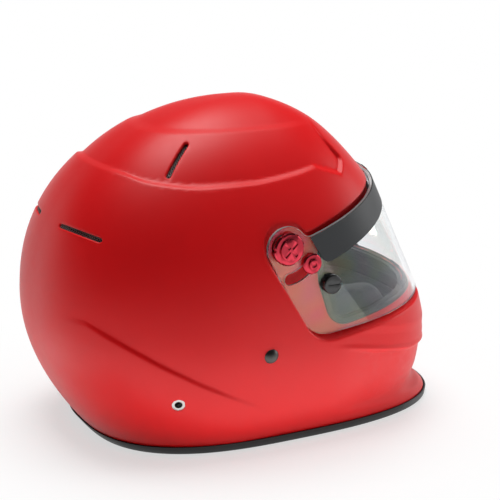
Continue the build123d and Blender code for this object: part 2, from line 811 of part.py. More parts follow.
def make_long_strap():
    """Right strap, hanging in and turning towards the middle, where its free end is."""
    top, low = strap_start()
    points = [top, low, (strap_end_side, long_strap_end_level), (long_strap_end_side, long_strap_end_level / 2)]
    return other_side(strap_band(points, strap_bend_radius))


def d_shape(half, radius):
    """Outline of a D: a straight bar above a half round bow."""
    bar = Pos(0, -half / 2) * Rectangle(2 * radius, half)
    return bar + Pos(0, -half) * (Circle(radius) & Pos(0, -radius) * Rectangle(2 * radius, 2 * radius))


def make_d_ring(index):
    """Stamped ring, hanging from the bar that its strap loop goes round."""
    side, level = d_ring_place(index)
    radius, drop = d_ring_width / 2, d_ring_length - d_ring_width / 2
    face = d_shape(drop, radius) - Pos(0, -d_ring_wire) * d_shape(drop - d_ring_wire, radius - d_ring_wire)
    y = widest_y + rivet_behind_widest
    plane = Plane(origin=(side, y, level + d_ring_wire / 2), x_dir=(0, 1, 0), z_dir=(1, 0, 0))
    return extrude(plane * face, amount=d_ring_thickness / 2, both=True)


def make_tether_insert():
    """Flanged threaded insert for a head restraint post; its body is a hexagon, so it can't turn."""
    plane = side_plane(tether_behind_widest, tether_level)
    body = hexagon(plane, tether_body_width - 2 * fit_gap, -tether_body_length, tether_flange_height)
    body += disc(plane, tether_flange_diameter, fit_gap, tether_flange_height + fit_gap)
    return body - disc(plane, tether_thread_diameter, -tether_body_length - overrun, overrun)


def make_vent_mesh(ends):
    return slot_solid(*ends, fit_gap, -lower_step_depth - mesh_thickness, mesh_thickness)


def pieces():
    """Every piece of the helmet, by the name that a fitter would use."""
    made = {
        "outer_shell": make_shell(),
        "bottom_edge_trim": make_trim(),
        "eye_port_gasket": make_gasket(),
        "impact_liner": make_impact_liner(),
        "comfort_liner": make_comfort_liner(),
        "chin_liner": make_chin_liner(),
        "neck_roll": make_neck_roll(),
        "visor": make_visor(),
        "visor_top_strip": make_strip(),
        "chin_strap_long_right": make_long_strap(),
        "chin_strap_short_left": make_short_strap(),
        "d_ring_inner": make_d_ring(0),
        "d_ring_outer": make_d_ring(1),
    }
    pairs = {
        "cheek_pad": cheek_pad(),
        "pivot_cap": make_pivot_cap(),
        "pivot_spacer": make_pivot_spacer(),
        "pivot_insert": make_pivot_insert(),
        "detent_post": make_detent_post(),
        "detent_insert": make_detent_insert(),
        "tearoff_post": make_tearoff_post(),
        "tearoff_nut": make_tearoff_nut(),
        "strap_rivet": make_rivet(),
        "strap_anchor_plate": make_anchor_plate(),
        "tether_insert": make_tether_insert(),
        "crown_vent_mesh": make_vent_mesh(crown_slot_ends()),
        "rear_vent_mesh": make_vent_mesh(rear_slot_ends()),
    }
    for name, shape in pairs.items():
        made[name + "_left"] = shape
        made[name + "_right"] = other_side(shape)
    return made


os.makedirs("parts", exist_ok=True)
for name, shape in pieces().items():
    export_step(shape, "parts/" + name + ".step")
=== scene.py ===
"""Looks of a full-face auto racing helmet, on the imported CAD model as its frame.

Sizes are millimetres in the CAD model's frame, and become metres where a mesh is made.
The wearer faces -Y and +Z is up.
"""

import math

import bmesh
import bpy
import numpy as np
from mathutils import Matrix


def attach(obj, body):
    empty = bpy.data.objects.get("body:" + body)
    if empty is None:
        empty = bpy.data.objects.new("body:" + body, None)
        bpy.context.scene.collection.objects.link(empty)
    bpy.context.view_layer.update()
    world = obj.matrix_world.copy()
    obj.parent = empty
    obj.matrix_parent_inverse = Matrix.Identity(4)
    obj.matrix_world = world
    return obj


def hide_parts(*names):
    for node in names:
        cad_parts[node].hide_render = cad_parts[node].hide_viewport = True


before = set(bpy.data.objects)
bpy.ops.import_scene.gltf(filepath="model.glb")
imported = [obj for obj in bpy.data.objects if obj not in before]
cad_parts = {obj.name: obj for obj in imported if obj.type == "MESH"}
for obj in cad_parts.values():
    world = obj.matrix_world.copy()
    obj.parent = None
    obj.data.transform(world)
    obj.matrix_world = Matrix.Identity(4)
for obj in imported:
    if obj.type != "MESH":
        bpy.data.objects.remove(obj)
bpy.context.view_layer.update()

import openvdb
from mathutils import Matrix, Vector
from mathutils.geometry import delaunay_2d_cdt

MM = 0.001

# Form of the shell, as the CAD model has it
TOTAL_HEIGHT = 267.6
HALF_WIDTH = 126.0
FRONT_REACH = 171.2
REAR_REACH = 179.6
RIM_HALF_WIDTH = 100.0
RIM_REAR_REACH = 134.6
SIDE_WIDEST_LEVEL = 100.3
REAR_WIDEST_LEVEL = 108.4
SIDE_DOME_POWER = 2.01
REAR_DOME_POWER = 2.25
FRONT_DOME_POWER = 1.38
FRONT_DOME_ROOT = 2.165
REAR_SQUARENESS = 2.71
FRONT_SQUARENESS = 2.78
SHELL_WALL = 4.2
WIDEST_Y = (FRONT_REACH - REAR_REACH) / 2
FRONT_FORM_SHARES = [
    (0.000, 0.984), (0.026, 0.986), (0.050, 0.955), (0.086, 0.908), (0.142, 0.940),
    (0.202, 0.967), (0.258, 0.994), (0.318, 1.000), (0.560, 1.000), (0.750, 0.985),
    (0.855, 0.978), (0.920, 0.988), (1.000, 1.000),
]

# Steps that run round the crown. The lower one follows a line in the side view, given by how far
# behind the widest station and how high it runs, and in its notch by its corners' radii.
UPPER_STEP_LEVEL = 248.5
UPPER_STEP_DEPTH = 1.7
UPPER_STEP_END = WIDEST_Y - 58
UPPER_STEP_FADE = 40.0
STEP_RETURN_DEPTH = 0.5
LOWER_STEP_DEPTH = 3.6
LOWER_STEP_LEVEL = 213.5
STEP_RAMP = 2.4
STEP_SWEEP = [
    (REAR_REACH + 40, 224.5), (130, 223.6), (106, 217.4), (69, 213.4),
    (33, 213.6), (-5, 216.8), (-28, 220.4),
]
STEP_NOTCH = [(-28, 220.4, 0), (-51, 212.4, 3.0), (-59, 221.5, 4.0), (-46, 240.0, 30.0), (-42, 320.0, 0)]

# Visor: its pivot, its curved sheet, and its outline in the side view, measured from the pivot
PIVOT_Y = WIDEST_Y + 12.6
PIVOT_LEVEL = 165.5
VISOR_THICKNESS = 3.0
VISOR_HALF_WIDTH = 116.0
VISOR_FRONT_REACH = 123.0
VISOR_FLAT_REACH = 18.0
VISOR_SQUARENESS = 2.35
VISOR_LEAN = math.radians(25.5)
VISOR_TOP_DROP = 2.0
VISOR_FRONT_DROP = 14.0
VISOR_TOP_REAR_AHEAD = 19.0
VISOR_TOP_CORNER_RADIUS = 7.0
VISOR_LOW_CORNER = (-23.1, -76.3)
VISOR_LOW_CORNER_RADIUS = 26.0
VISOR_LOW_EDGE_RISE = 0.119
EAR_RADIUS = 17.3

# Holes in the visor: for the cap's stem, for the detent post's travel and for the tear-off post
CAP_HOLE_RADIUS = 6.4
ARC_SLOT_RADIUS = 25.2
ARC_SLOT_WIDTH = 9.4
ARC_SLOT_ENDS = (214.2, 264.2)
POST_AHEAD = 39.2
POST_DROP = 32.8
POST_HOLE_RADIUS = 2.6

# Recess that the visor lies in, the eye port in its floor, and the port's seal
VISOR_FLOOR = 6.4
POCKET_MARGIN = 2.0
PORT_TOP_DROP = 20.0
PORT_TOP_REAR_AHEAD = 25.0
PORT_REAR = (-33.5, -31.5)
PORT_LOW_CORNER = (-45.5, -68.3)
PORT_LOW_EDGE_RISE = 0.172
PORT_RADII = (15.0, 22.0, 8.0)
GASKET_LIP = 1.8

# Dark film along the visor's upper edge. Its back and face are heights above the sheet.
STRIP_REAR_AHEAD = 20.0
STRIP_HEIGHT = 28.0
STRIP_SKEW = 3.0
STRIP_CORNER_RADIUS = 9.0
STRIP_INSET = 0.3
STRIP_BACK = 0.02
STRIP_FACE = 0.5

# Rubber channel on the bottom edge
TRIM_FLOOR = 1.6
TRIM_WALL = 1.9
TRIM_HEIGHT = 7.6

# Fineness of the shell's grid
VOXEL = 1.0
SHELL_TRIANGLES = 190000
BAND = 4.0

# Spacing of points along a path, close to the front of the sheet, and across a plate that follows it
PATH_STEP = 2.5
LEAST_STEP = 0.6
FRONT_STEP = 3.0
FRONT_FILL = 60.0
FRONT_DEPTH = 6.0
GRID_ROUND = 3.0
GRID_ALONG = 12.0
GRID_MARGIN = 2.0

# Joined triangles of a CAD node, and the skin and cloth of a pad
JOIN_DISTANCE = 0.002
FLAT_ANGLE = 0.5
BEVEL_ANGLE = 40
PAD_VOXEL = 4.5
PAD_FRAMES = 15
PAD_SWELL = 2.0
PAD_CAP = 1.2


# Curves in the side view

def eased(table, share):
    """Smooth value of a table of (share, value) pairs, without overshoot between them."""
    slopes = [(b[1] - a[1]) / (b[0] - a[0]) for a, b in zip(table, table[1:])]
    tangents = [slopes[0]]
    for before, after in zip(slopes, slopes[1:]):
        tangents.append(2 * before * after / (before + after) if before * after > 0 else 0)
    tangents.append(slopes[-1])
    for index, (low, high) in enumerate(zip(table, table[1:])):
        if share <= high[0] or index == len(slopes) - 1:
            span = high[0] - low[0]
            t = min(max((share - low[0]) / span, 0), 1)
            rise = (1 - t) ** 2 * t * span * tangents[index]
            fall = t * t * (t - 1) * span * tangents[index + 1]
            return low[1] * (1 + 2 * t) * (1 - t) ** 2 + high[1] * t * t * (3 - 2 * t) + rise + fall


def sheet_place(across, along):
    """Place in the side view, across the visor from its pivot and along its lean."""
    c, s = math.cos(VISOR_LEAN), math.sin(VISOR_LEAN)
    return PIVOT_Y - across * c + along * s, PIVOT_LEVEL + across * s + along * c


def across_along(y, z):
    """A side view place measured across the visor from its pivot and along its lean."""
    c, s = math.cos(VISOR_LEAN), math.sin(VISOR_LEAN)
    return -(y - PIVOT_Y) * c + (z - PIVOT_LEVEL) * s, (y - PIVOT_Y) * s + (z - PIVOT_LEVEL) * c


def rounded_path(corners, closed=True, step=math.radians(6)):
    """Points of a path through (y, z, radius) corners, each rounded by its radius."""
    points = []
    count = len(corners)
    for index, (y, z, radius) in enumerate(corners):
        here = Vector((y, z))
        if not radius or (not closed and index in (0, count - 1)):
            points.append(here)
            continue
        before = (Vector(corners[index - 1][:2]) - here).normalized()
        after = (Vector(corners[(index + 1) % count][:2]) - here).normalized()
        half = before.angle(after) / 2
        centre = here + (before + after).normalized() * radius / math.sin(half)
        start = here + before * radius / math.tan(half) - centre
        end = here + after * radius / math.tan(half) - centre
        turn = math.atan2(start.x * end.y - start.y * end.x, start.dot(end))
        steps = max(2, int(abs(turn) / step))
        for k in range(steps + 1):
            points.append(centre + Matrix.Rotation(turn * k / steps, 2) @ start)
    return [(p.x, p.y) for p in points]


def tangent_point(place, side):
    """Point where a line from a place touches the round ear of the visor."""
    y, z = PIVOT_Y - place[0], PIVOT_LEVEL - place[1]
    distance = math.hypot(y, z)
    reach = math.sqrt(distance**2 - EAR_RADIUS**2)
    turn = math.atan2(z, y) + side * math.asin(EAR_RADIUS / distance)
    return place[0] + reach * math.cos(turn), place[1] + reach * math.sin(turn)


def ear_arc(start, end):
    """Points round the ear from one tangent point to the other, by its rear."""
    first = math.atan2(start[1] - PIVOT_LEVEL, start[0] - PIVOT_Y)
    last = math.atan2(end[1] - PIVOT_LEVEL, end[0] - PIVOT_Y)
    if last < first:
        last += math.tau
    return [
        (PIVOT_Y + EAR_RADIUS * math.cos(a), PIVOT_LEVEL + EAR_RADIUS * math.sin(a))
        for a in np.linspace(first, last, 40)
    ]


FRONT_RUN = FRONT_REACH + 40.0


def from_pivot(offset):
    """Place in the side view at an offset from the visor's pivot."""
    return PIVOT_Y + offset[0], PIVOT_LEVEL + offset[1]


def front_drop():
    """How much lower the sheet's upper edge lies at the end of the front run than at its ear."""
    return VISOR_FRONT_DROP * (VISOR_FRONT_REACH + FRONT_RUN) / VISOR_FRONT_REACH


def visor_path():
    """Side view of the visor: bottom front, lower corner, ear, top corner, top front."""
    corner = from_pivot(VISOR_LOW_CORNER)
    bottom_front = (corner[0] - FRONT_RUN, corner[1] + FRONT_RUN * VISOR_LOW_EDGE_RISE)
    top_rear = sheet_place(VISOR_TOP_REAR_AHEAD, -VISOR_TOP_DROP)
    top_front = sheet_place(VISOR_FRONT_REACH + FRONT_RUN, -VISOR_TOP_DROP - front_drop())
    rear, upper = tangent_point(corner, -1), tangent_point(top_rear, 1)
    lower = rounded_path(
        [(*bottom_front, 0), (*corner, VISOR_LOW_CORNER_RADIUS), (*rear, 0)], closed=False)
    top = rounded_path(
        [(*upper, 0), (*top_rear, VISOR_TOP_CORNER_RADIUS), (*top_front, 0)], closed=False)
    return lower[:-1] + ear_arc(rear, upper) + top[1:]


def port_path():
    """Side view of the eye port: bottom front, lower corner, top corner, top front."""
    top_rear = sheet_place(PORT_TOP_REAR_AHEAD, -PORT_TOP_DROP)
    top_front = sheet_place(VISOR_FRONT_REACH + FRONT_RUN, -PORT_TOP_DROP)
    rear, corner = from_pivot(PORT_REAR), from_pivot(PORT_LOW_CORNER)
    bottom_front = (corner[0] - FRONT_RUN, corner[1] + FRONT_RUN * PORT_LOW_EDGE_RISE)
    places = (bottom_front, corner, rear, top_rear, top_front)
    corners = [(*place, radius) for place, radius in zip(places, (0, *PORT_RADII, 0))]
    return rounded_path(corners, closed=False)


def step_path():
    """Side view of the part above the lower step: its rear, the sweep, the notch and the front return."""
    behinds, levels = (list(enumerate(row)) for row in zip(*STEP_SWEEP))
    fine = np.linspace(0, len(STEP_SWEEP) - 1, 80)
    sweep = [(WIDEST_Y + eased(behinds, share), eased(levels, share)) for share in fine]
    notch = rounded_path(
        [(WIDEST_Y + behind, level, radius) for behind, level, radius in STEP_NOTCH], closed=False)
    return sweep[:-1] + notch + [(WIDEST_Y + STEP_SWEEP[0][0], STEP_NOTCH[-1][1])]


# Distance fields

def polygon_distance(path, y, z):
    """Distance from a closed path on a grid of the side view, negative inside it."""
    points = np.array(path, dtype=np.float32)
    ends = np.roll(points, -1, axis=0)
    gy, gz = np.meshgrid(y, z, indexing="ij")
    nearest = np.full(gy.shape, 1e9, dtype=np.float32)
    inside = np.zeros(gy.shape, dtype=bool)
    for (ay, az), (by, bz) in zip(points, ends):
        dy, dz = by - ay, bz - az
        length = max(dy * dy + dz * dz, 1e-9)
        t = np.clip(((gy - ay) * dy + (gz - az) * dz) / length, 0, 1)
        nearest = np.minimum(nearest, (gy - ay - t * dy) ** 2 + (gz - az - t * dz) ** 2)
        crosses = (az > gz) != (bz > gz)
        with np.errstate(divide="ignore", invalid="ignore"):
            inside ^= crosses & (gy < ay + (gz - az) * dy / (dz if dz else 1e-9))
    return np.where(inside, -1, 1) * np.sqrt(nearest)


def normalised(field, step):
    """A field whose zero is the surface, turned into a distance near it."""
    slopes = np.gradient(field, step)
    size = np.sqrt(slopes[0] ** 2 + slopes[1] ** 2 + slopes[2] ** 2)
    return field / np.maximum(size, 1e-4)


def smooth_max(a, b, radius):
    """The larger of two fields, their meeting edge rounded."""
    share = np.maximum(radius - np.abs(a - b), 0) / radius
    return np.maximum(a, b) + share * share * radius / 4


def smooth_step(value):
    """Soft rise of a value from 0 to 1, flat outside that."""
    t = np.clip(value, 0, 1)
    return t * t * (3 - 2 * t)


def form_field(x, y, z):
    """Distance from the plain outside of the shell, on a grid of one half."""
    tuck = np.clip((SIDE_WIDEST_LEVEL - z) / SIDE_WIDEST_LEVEL, 0, None)
    rear_tuck = np.clip((REAR_WIDEST_LEVEL - z) / REAR_WIDEST_LEVEL, 0, None)
    side_dome, rear_dome = TOTAL_HEIGHT - SIDE_WIDEST_LEVEL, TOTAL_HEIGHT - REAR_WIDEST_LEVEL
    rise = np.clip((z - SIDE_WIDEST_LEVEL) / side_dome, 0, None)
    side = 1 - (1 - RIM_HALF_WIDTH / HALF_WIDTH) * tuck**2
    side_squared = np.where(z < SIDE_WIDEST_LEVEL, side**2, 1 - rise**SIDE_DOME_POWER)
    short = np.minimum(z, TOTAL_HEIGHT - 0.5)
    side_low = 1 - np.clip((short - SIDE_WIDEST_LEVEL) / side_dome, 0, 1) ** SIDE_DOME_POWER
    side_low = np.where(z < SIDE_WIDEST_LEVEL, side, np.sqrt(side_low))
    rear = np.where(
        z < REAR_WIDEST_LEVEL,
        1 - (1 - RIM_REAR_REACH / REAR_REACH) * rear_tuck**2,
        np.sqrt(1 - np.clip((short - REAR_WIDEST_LEVEL) / rear_dome, 0, 1) ** REAR_DOME_POWER),
    )
    front_form = np.array([eased(FRONT_FORM_SHARES, max(level, 0) / TOTAL_HEIGHT) for level in short])
    front_dome = 1 - np.clip(short / TOTAL_HEIGHT, 0, 1) ** FRONT_DOME_POWER
    front = front_dome ** (1 / FRONT_DOME_ROOT) * front_form
    behind = (y > WIDEST_Y)[:, None]
    power = np.where(behind, REAR_SQUARENESS, FRONT_SQUARENESS)
    reach = np.where(
        behind, REAR_REACH * (rear / side_low)[None, :], FRONT_REACH * (front / side_low)[None, :])
    lengthwise = (np.abs(y - WIDEST_Y)[:, None] / reach) ** power
    crosswise = (np.abs(x) / HALF_WIDTH)[:, None] ** power[:, 0][None, :]
    total = (crosswise[:, :, None] + lengthwise[None, :, :]).astype(np.float32)
    field = total ** (2 / power[None, :, :]).astype(np.float32)
    return normalised(field - side_squared[None, None, :].astype(np.float32), VOXEL)


def sheet_field(x, y, z, inset):
    """Distance outside the visor's curved sheet drawn in by inset."""
    gy, gz = np.meshgrid(y, z, indexing="ij")
    across, _ = across_along(gy, gz)
    reach = VISOR_FRONT_REACH - inset - VISOR_FLAT_REACH
    forward = (np.clip(across - VISOR_FLAT_REACH, 0, None) / reach) ** VISOR_SQUARENESS
    aside = (np.abs(x) / (VISOR_HALF_WIDTH - inset)) ** VISOR_SQUARENESS
    total = (aside[:, None, None] + forward[None, :, :]).astype(np.float32)
    return normalised(total ** (1 / VISOR_SQUARENESS) - 1, VOXEL)


def step_inset(y, z):
    """How far the crown is drawn in above its two steps."""
    above = -polygon_distance(step_path(), y, z)
    share = np.clip((z - LOWER_STEP_LEVEL) / (UPPER_STEP_LEVEL - LOWER_STEP_LEVEL), 0, 1)
    depth = LOWER_STEP_DEPTH + (STEP_RETURN_DEPTH - LOWER_STEP_DEPTH) * share
    lower = depth[None, :] * smooth_step((above + 1.0) / STEP_RAMP)
    crown = (STEP_RETURN_DEPTH + UPPER_STEP_DEPTH) * np.clip(
        (TOTAL_HEIGHT - z) / (TOTAL_HEIGHT - UPPER_STEP_LEVEL), 0, 1)
    high = smooth_step((z - UPPER_STEP_LEVEL + 1.0) / 3.0)[None, :]
    fade = smooth_step((y - UPPER_STEP_END) / UPPER_STEP_FADE)[:, None]
    return lower * (1 - high) + crown[None, :] * high * fade


def line_level(points, y):
    """Level of a soft line in the side view at each y, both measured from the widest station."""
    places = sorted(points)
    return np.interp(y - WIDEST_Y, [p[0] for p in places], [p[1] for p in places])


LOWER_CREASE = [(15, 30), (55, 52), (88, 70), (118, 88), (150, 109), (163, 118)]
CREASE_HEIGHT = 2.0
CHIN_RIDGE = [(-20, 82), (-35, 80), (-73, 71.5), (-111, 63), (-140, 60)]
CHIN_VALLEY_DEPTH = 1.1
SIDE_PANEL_DEPTH = 2.4
CHIN_BLOCK_HALF_WIDTH = 44


def ramp(value, start, length):
    """Soft rise from 0 to 1 that begins at start and takes a length."""
    return smooth_step((value - start) / length)


def relief(x, y, z):
    """How far soft modelling stands out from the plain form, over the whole half grid."""
    gy, gz = np.meshgrid(y, z, indexing="ij")
    behind = gy - WIDEST_Y
    below = line_level(LOWER_CREASE, y)[:, None] - gz
    reach = ramp(behind, 15, 70) * ramp(-behind, -178, 30)
    crease = CREASE_HEIGHT * reach * ramp(below, 0, 5) * ramp(-below, -70, 60)
    over = gz - line_level(CHIN_RIDGE, y)[:, None]
    valley = CHIN_VALLEY_DEPTH * ramp(-behind, 18, 30) * ramp(over, 0, 4) * ramp(-over, -22, 10)
    side_panel = ramp(-behind, 28, 40) * ramp(-over, 0, 3.5) * ramp(gz, 14, 12)
    beside_block = ramp(np.abs(x), CHIN_BLOCK_HALF_WIDTH, 4)
    panel = SIDE_PANEL_DEPTH * beside_block[:, None, None] * side_panel[None, :, :]
    return (crease - valley)[None, :, :] - panel


def tube_field(x, y, z, origin, axis, radius):
    """Distance from an endless round bar, negative inside it."""
    axis = np.array(axis) / np.linalg.norm(axis)
    dx, dy, dz = x[:, None, None] - origin[0], y[None, :, None] - origin[1], z[None, None, :] - origin[2]
    along = dx * axis[0] + dy * axis[1] + dz * axis[2]
    return np.sqrt(np.maximum(dx * dx + dy * dy + dz * dz - along * along, 0)) - radius


# Places on the shell

def reach_at(level, where):
    """Half width, or depth to the rear or front, of the plain form at a level."""
    if where == "front":
        share = max(level, 0) / TOTAL_HEIGHT
        dome = (1 - share**FRONT_DOME_POWER) ** (1 / FRONT_DOME_ROOT)
        return FRONT_REACH * dome * eased(FRONT_FORM_SHARES, share)
    reach, rim, widest, power = {
        "side": (HALF_WIDTH, RIM_HALF_WIDTH, SIDE_WIDEST_LEVEL, SIDE_DOME_POWER),
        "rear": (REAR_REACH, RIM_REAR_REACH, REAR_WIDEST_LEVEL, REAR_DOME_POWER),
    }[where]
    if level < widest:
        return reach - (reach - rim) * ((widest - level) / widest) ** 2
    return reach * math.sqrt(max(1 - ((level - widest) / (TOTAL_HEIGHT - widest)) ** power, 0))


def rim_point(level, angle, grow=0.0):
    """Point of a level section, grown outwards; angle 0 is the wearer's left, a quarter turn the back."""
    c, s = math.cos(angle), math.sin(angle)
    power = REAR_SQUARENESS if s > 0 else FRONT_SQUARENESS
    depth = reach_at(level, "rear" if s > 0 else "front") + grow
    size = (abs(c) ** power + abs(s) ** power) ** (1 / power)
    return (reach_at(level, "side") + grow) * c / size, WIDEST_Y + depth * s / size


def side_x(behind, level):
    """Half width of the form at a place along the side."""
    where, power = ("rear", REAR_SQUARENESS) if behind > 0 else ("front", FRONT_SQUARENESS)
    share = (abs(behind) / reach_at(level, where)) ** power
    return reach_at(level, "side") * (1 - share) ** (1 / power)


def side_frame(behind, level, side):
    """Matrix whose Z points out of the shell at a place on its side, X level."""
    step = 0.1
    along = side_x(behind + step, level) - side_x(behind - step, level)
    upward = side_x(behind, level + step) - side_x(behind, level - step)
    out = Vector((2 * step, -along, -upward)).normalized()
    level_axis = Vector((-out.y, out.x, 0)).normalized()
    rows = Matrix((level_axis, out.cross(level_axis), out)).transposed().to_4x4()
    placed = Matrix.Translation((side_x(behind, level), WIDEST_Y + behind, level)) @ rows
    return Matrix.Diagonal((side, 1, 1, 1)) @ placed


# Meshes

def mesh_object(name, points, faces, smooth_angle=30):
    """Object from points in mm and faces, smooth but for edges sharper than an angle."""
    mesh = bpy.data.meshes.new(name)
    mesh.from_pydata([tuple(c * MM for c in p) for p in points], [], faces)
    mesh.validate()
    mesh.update()
    obj = bpy.data.objects.new(name, mesh)
    bpy.context.collection.objects.link(obj)
    shade(obj, smooth_angle)
    return obj


def shade(obj, smooth_angle):
    """Smooth shading, but for edges sharper than an angle in degrees."""
    mesh = obj.data
    mesh.shade_smooth()
    mesh.set_sharp_from_angle(angle=math.radians(smooth_angle))


def apply_modifiers(obj):
    """Makes the modified shape the object's own mesh."""
    graph = bpy.context.evaluated_depsgraph_get()
    mesh = bpy.data.meshes.new_from_object(obj.evaluated_get(graph))
    obj.modifiers.clear()
    obj.data = mesh
    return obj


def outwards(obj):
    """Merges doubles and turns every face outwards."""
    work = bmesh.new()
    work.from_mesh(obj.data)
    bmesh.ops.remove_doubles(work, verts=work.verts, dist=1e-6)
    bmesh.ops.recalc_face_normals(work, faces=work.faces)
    if work.calc_volume(signed=True) < 0:
        bmesh.ops.reverse_faces(work, faces=work.faces)
    work.to_mesh(obj.data)
    work.free()
    return obj


def smooth_copy(node, name, angle=28, bevel=0.0):
    """The CAD node's own shape, its triangles joined and its round faces smooth."""
    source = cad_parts[node].data
    obj = bpy.data.objects.new(name, source.copy())
    obj.data.materials.clear()
    bpy.context.collection.objects.link(obj)
    work = bmesh.new()
    work.from_mesh(obj.data)
    bmesh.ops.remove_doubles(work, verts=work.verts, dist=JOIN_DISTANCE * MM)
    bmesh.ops.dissolve_limit(
        work, angle_limit=math.radians(FLAT_ANGLE), verts=work.verts, edges=work.edges, delimit={"NORMAL"})
    work.to_mesh(obj.data)
    work.free()
    if bevel:
        edge = obj.modifiers.new("edge", "BEVEL")
        edge.width = bevel * MM
        edge.segments = 2
        edge.limit_method = "ANGLE"
        edge.angle_limit = math.radians(BEVEL_ANGLE)
        apply_modifiers(obj)
    shade(obj, angle)
    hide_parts(node)
    return obj


def field_mesh(name, field, origin, triangles):
    """Closed mesh of where a field on a grid is negative, thinned to about so many triangles."""
    values = np.clip(field, -BAND, BAND).astype(np.float32)
    grid = openvdb.FloatGrid(BAND)
    grid.copyFromArray(values, tolerance=0.01)
    points, tris, quads = grid.convertToPolygons(isovalue=0.0, adaptivity=0.0)
    mesh = bpy.data.meshes.new(name)
    places = (points * VOXEL + np.array(origin)) * MM
    corners = np.concatenate([tris.ravel(), quads.ravel()]).astype(np.int32)
    starts = np.concatenate([np.arange(len(tris)) * 3, len(tris) * 3 + np.arange(len(quads)) * 4])
    mesh.vertices.add(len(places))
    mesh.vertices.foreach_set("co", places.astype(np.float32).ravel())
    mesh.loops.add(len(corners))
    mesh.loops.foreach_set("vertex_index", corners)
    mesh.polygons.add(len(starts))
    mesh.polygons.foreach_set("loop_start", starts.astype(np.int32))
    mesh.update(calc_edges=True)
    obj = bpy.data.objects.new(name, mesh)
    bpy.context.collection.objects.link(obj)
    thin = obj.modifiers.new("thin", "DECIMATE")
    thin.ratio = min(1.0, triangles / (2 * len(quads) + len(tris)))
    apply_modifiers(obj)
    work = bmesh.new()
    work.from_mesh(obj.data)
    bmesh.ops.triangulate(work, faces=work.faces)
    bmesh.ops.recalc_face_normals(work, faces=work.faces)
    work.to_mesh(obj.data)
    work.free()
    mesh = obj.data
    mesh.shade_smooth()
    count = len(mesh.vertices)
    spots = np.empty(count * 3, dtype=np.float32)
    mesh.vertices.foreach_get("co", spots)
    spots = (spots.reshape(-1, 3) / MM - np.array(origin)) / VOXEL
    mesh.normals_split_custom_set_from_vertices(field_normals(values, spots))
    return obj


def field_normals(values, spots):
    """Direction in which a field grows, at places given in grid steps."""
    limit = np.array(values.shape) - 3
    base = np.clip(np.floor(spots).astype(int), 1, limit)
    part = spots - base
    total = np.zeros_like(spots)
    for corner in range(8):
        step = np.array([corner & 1, corner >> 1 & 1, corner >> 2 & 1])
        weight = np.prod(np.where(step, part, 1 - part), axis=1)
        i, j, k = (base + step).T
        slope = np.stack([
            values[i + 1, j, k] - values[i - 1, j, k],
            values[i, j + 1, k] - values[i, j - 1, k],
            values[i, j, k + 1] - values[i, j, k - 1],
        ], axis=1)
        total += slope * weight[:, None]
    return total / np.maximum(np.linalg.norm(total, axis=1, keepdims=True), 1e-6)


# The sheet that the visor is cut from

def sheet_curve():
    """Flat length, half width and reach across of the sheet's curve, from its front middle to its ear."""
    turns = np.linspace(math.pi / 2, 0, 400)
    c, s = np.abs(np.cos(turns)), np.sin(turns)
    size = (c**VISOR_SQUARENESS + s**VISOR_SQUARENESS) ** (1 / VISOR_SQUARENESS)
    xs = VISOR_HALF_WIDTH * c / size
    across = VISOR_FLAT_REACH + (VISOR_FRONT_REACH - VISOR_FLAT_REACH) * s / size
    xs, across = np.append(xs, VISOR_HALF_WIDTH), np.append(across, -60.0)
    length = np.concatenate([[0], np.cumsum(np.hypot(np.diff(xs), np.diff(across)))])
    return length, xs, across


SHEET_LENGTH, SHEET_X, SHEET_ACROSS = sheet_curve()


def unrolled(y, z):
    """Place on the unrolled sheet of a point in the side view."""
    across, along = across_along(y, z)
    return float(np.interp(-across, -SHEET_ACROSS, SHEET_LENGTH)), along


def on_sheet(u, v, out=0.0):
    """Point in the helmet's frame of a place on the unrolled sheet, out mm outside it."""
    flat, step = abs(u), 0.5
    (x, across), (next_x, next_across), (last_x, last_across) = (
        (np.interp(at, SHEET_LENGTH, SHEET_X), np.interp(at, SHEET_LENGTH, SHEET_ACROSS))
        for at in (flat, flat + step, max(flat - step, 0))
    )
    if flat < step:
        last_x, last_across = -next_x, next_across
    out_x, out_across = -(next_across - last_across), next_x - last_x
    size = math.hypot(out_x, out_across)
    x, across = x + out * out_x / size, across + out * out_across / size
    y, z = sheet_place(across, v)
    return (math.copysign(x, u) if u else x, y, z)


def wrapped_loop(path):
    """Closed loop on the unrolled sheet, from a side view path whose two ends run past the front."""
    side = []
    for (ay, az), (by, bz) in zip(path, path[1:]):
        pieces = max(1, int(math.hypot(by - ay, bz - az) / PATH_STEP))
        side += [(ay + (by - ay) * k / pieces, az + (bz - az) * k / pieces) for k in range(pieces)]
    side.append(path[-1])
    half = []
    for y, z in side:
        across, _ = across_along(y, z)
        if across < VISOR_FRONT_REACH - 0.05:
            half.append(unrolled(y, z))
    low = front_crossing(path[0], path[1])
    high = front_crossing(path[-1], path[-2])
    half = fill_front(path[0], path[1]) + half + fill_front(path[-1], path[-2])[::-1]
    loop = [(0.0, low)] + half + [(0.0, high)] + [(-u, v) for u, v in half[::-1]]
    return thinned(loop, LEAST_STEP)


def front_crossing(end, inner):
    """Place along the lean where a line of the side view meets the front of the sheet."""
    a0, v0 = across_along(*end)
    a1, v1 = across_along(*inner)
    t = (VISOR_FRONT_REACH - a0) / (a1 - a0)
    return v0 + (v1 - v0) * t


def fill_front(end, inner):
    """Even points near the front, where a small step across is a long one round the sheet."""
    a0, v0 = across_along(*end)
    a1, v1 = across_along(*inner)
    points = []
    for u in np.arange(FRONT_STEP, FRONT_FILL, FRONT_STEP):
        across = np.interp(u, SHEET_LENGTH, SHEET_ACROSS)
        if across < VISOR_FRONT_REACH - FRONT_DEPTH:
            break
        points.append((float(u), v0 + (v1 - v0) * (across - a0) / (a1 - a0)))
    return points


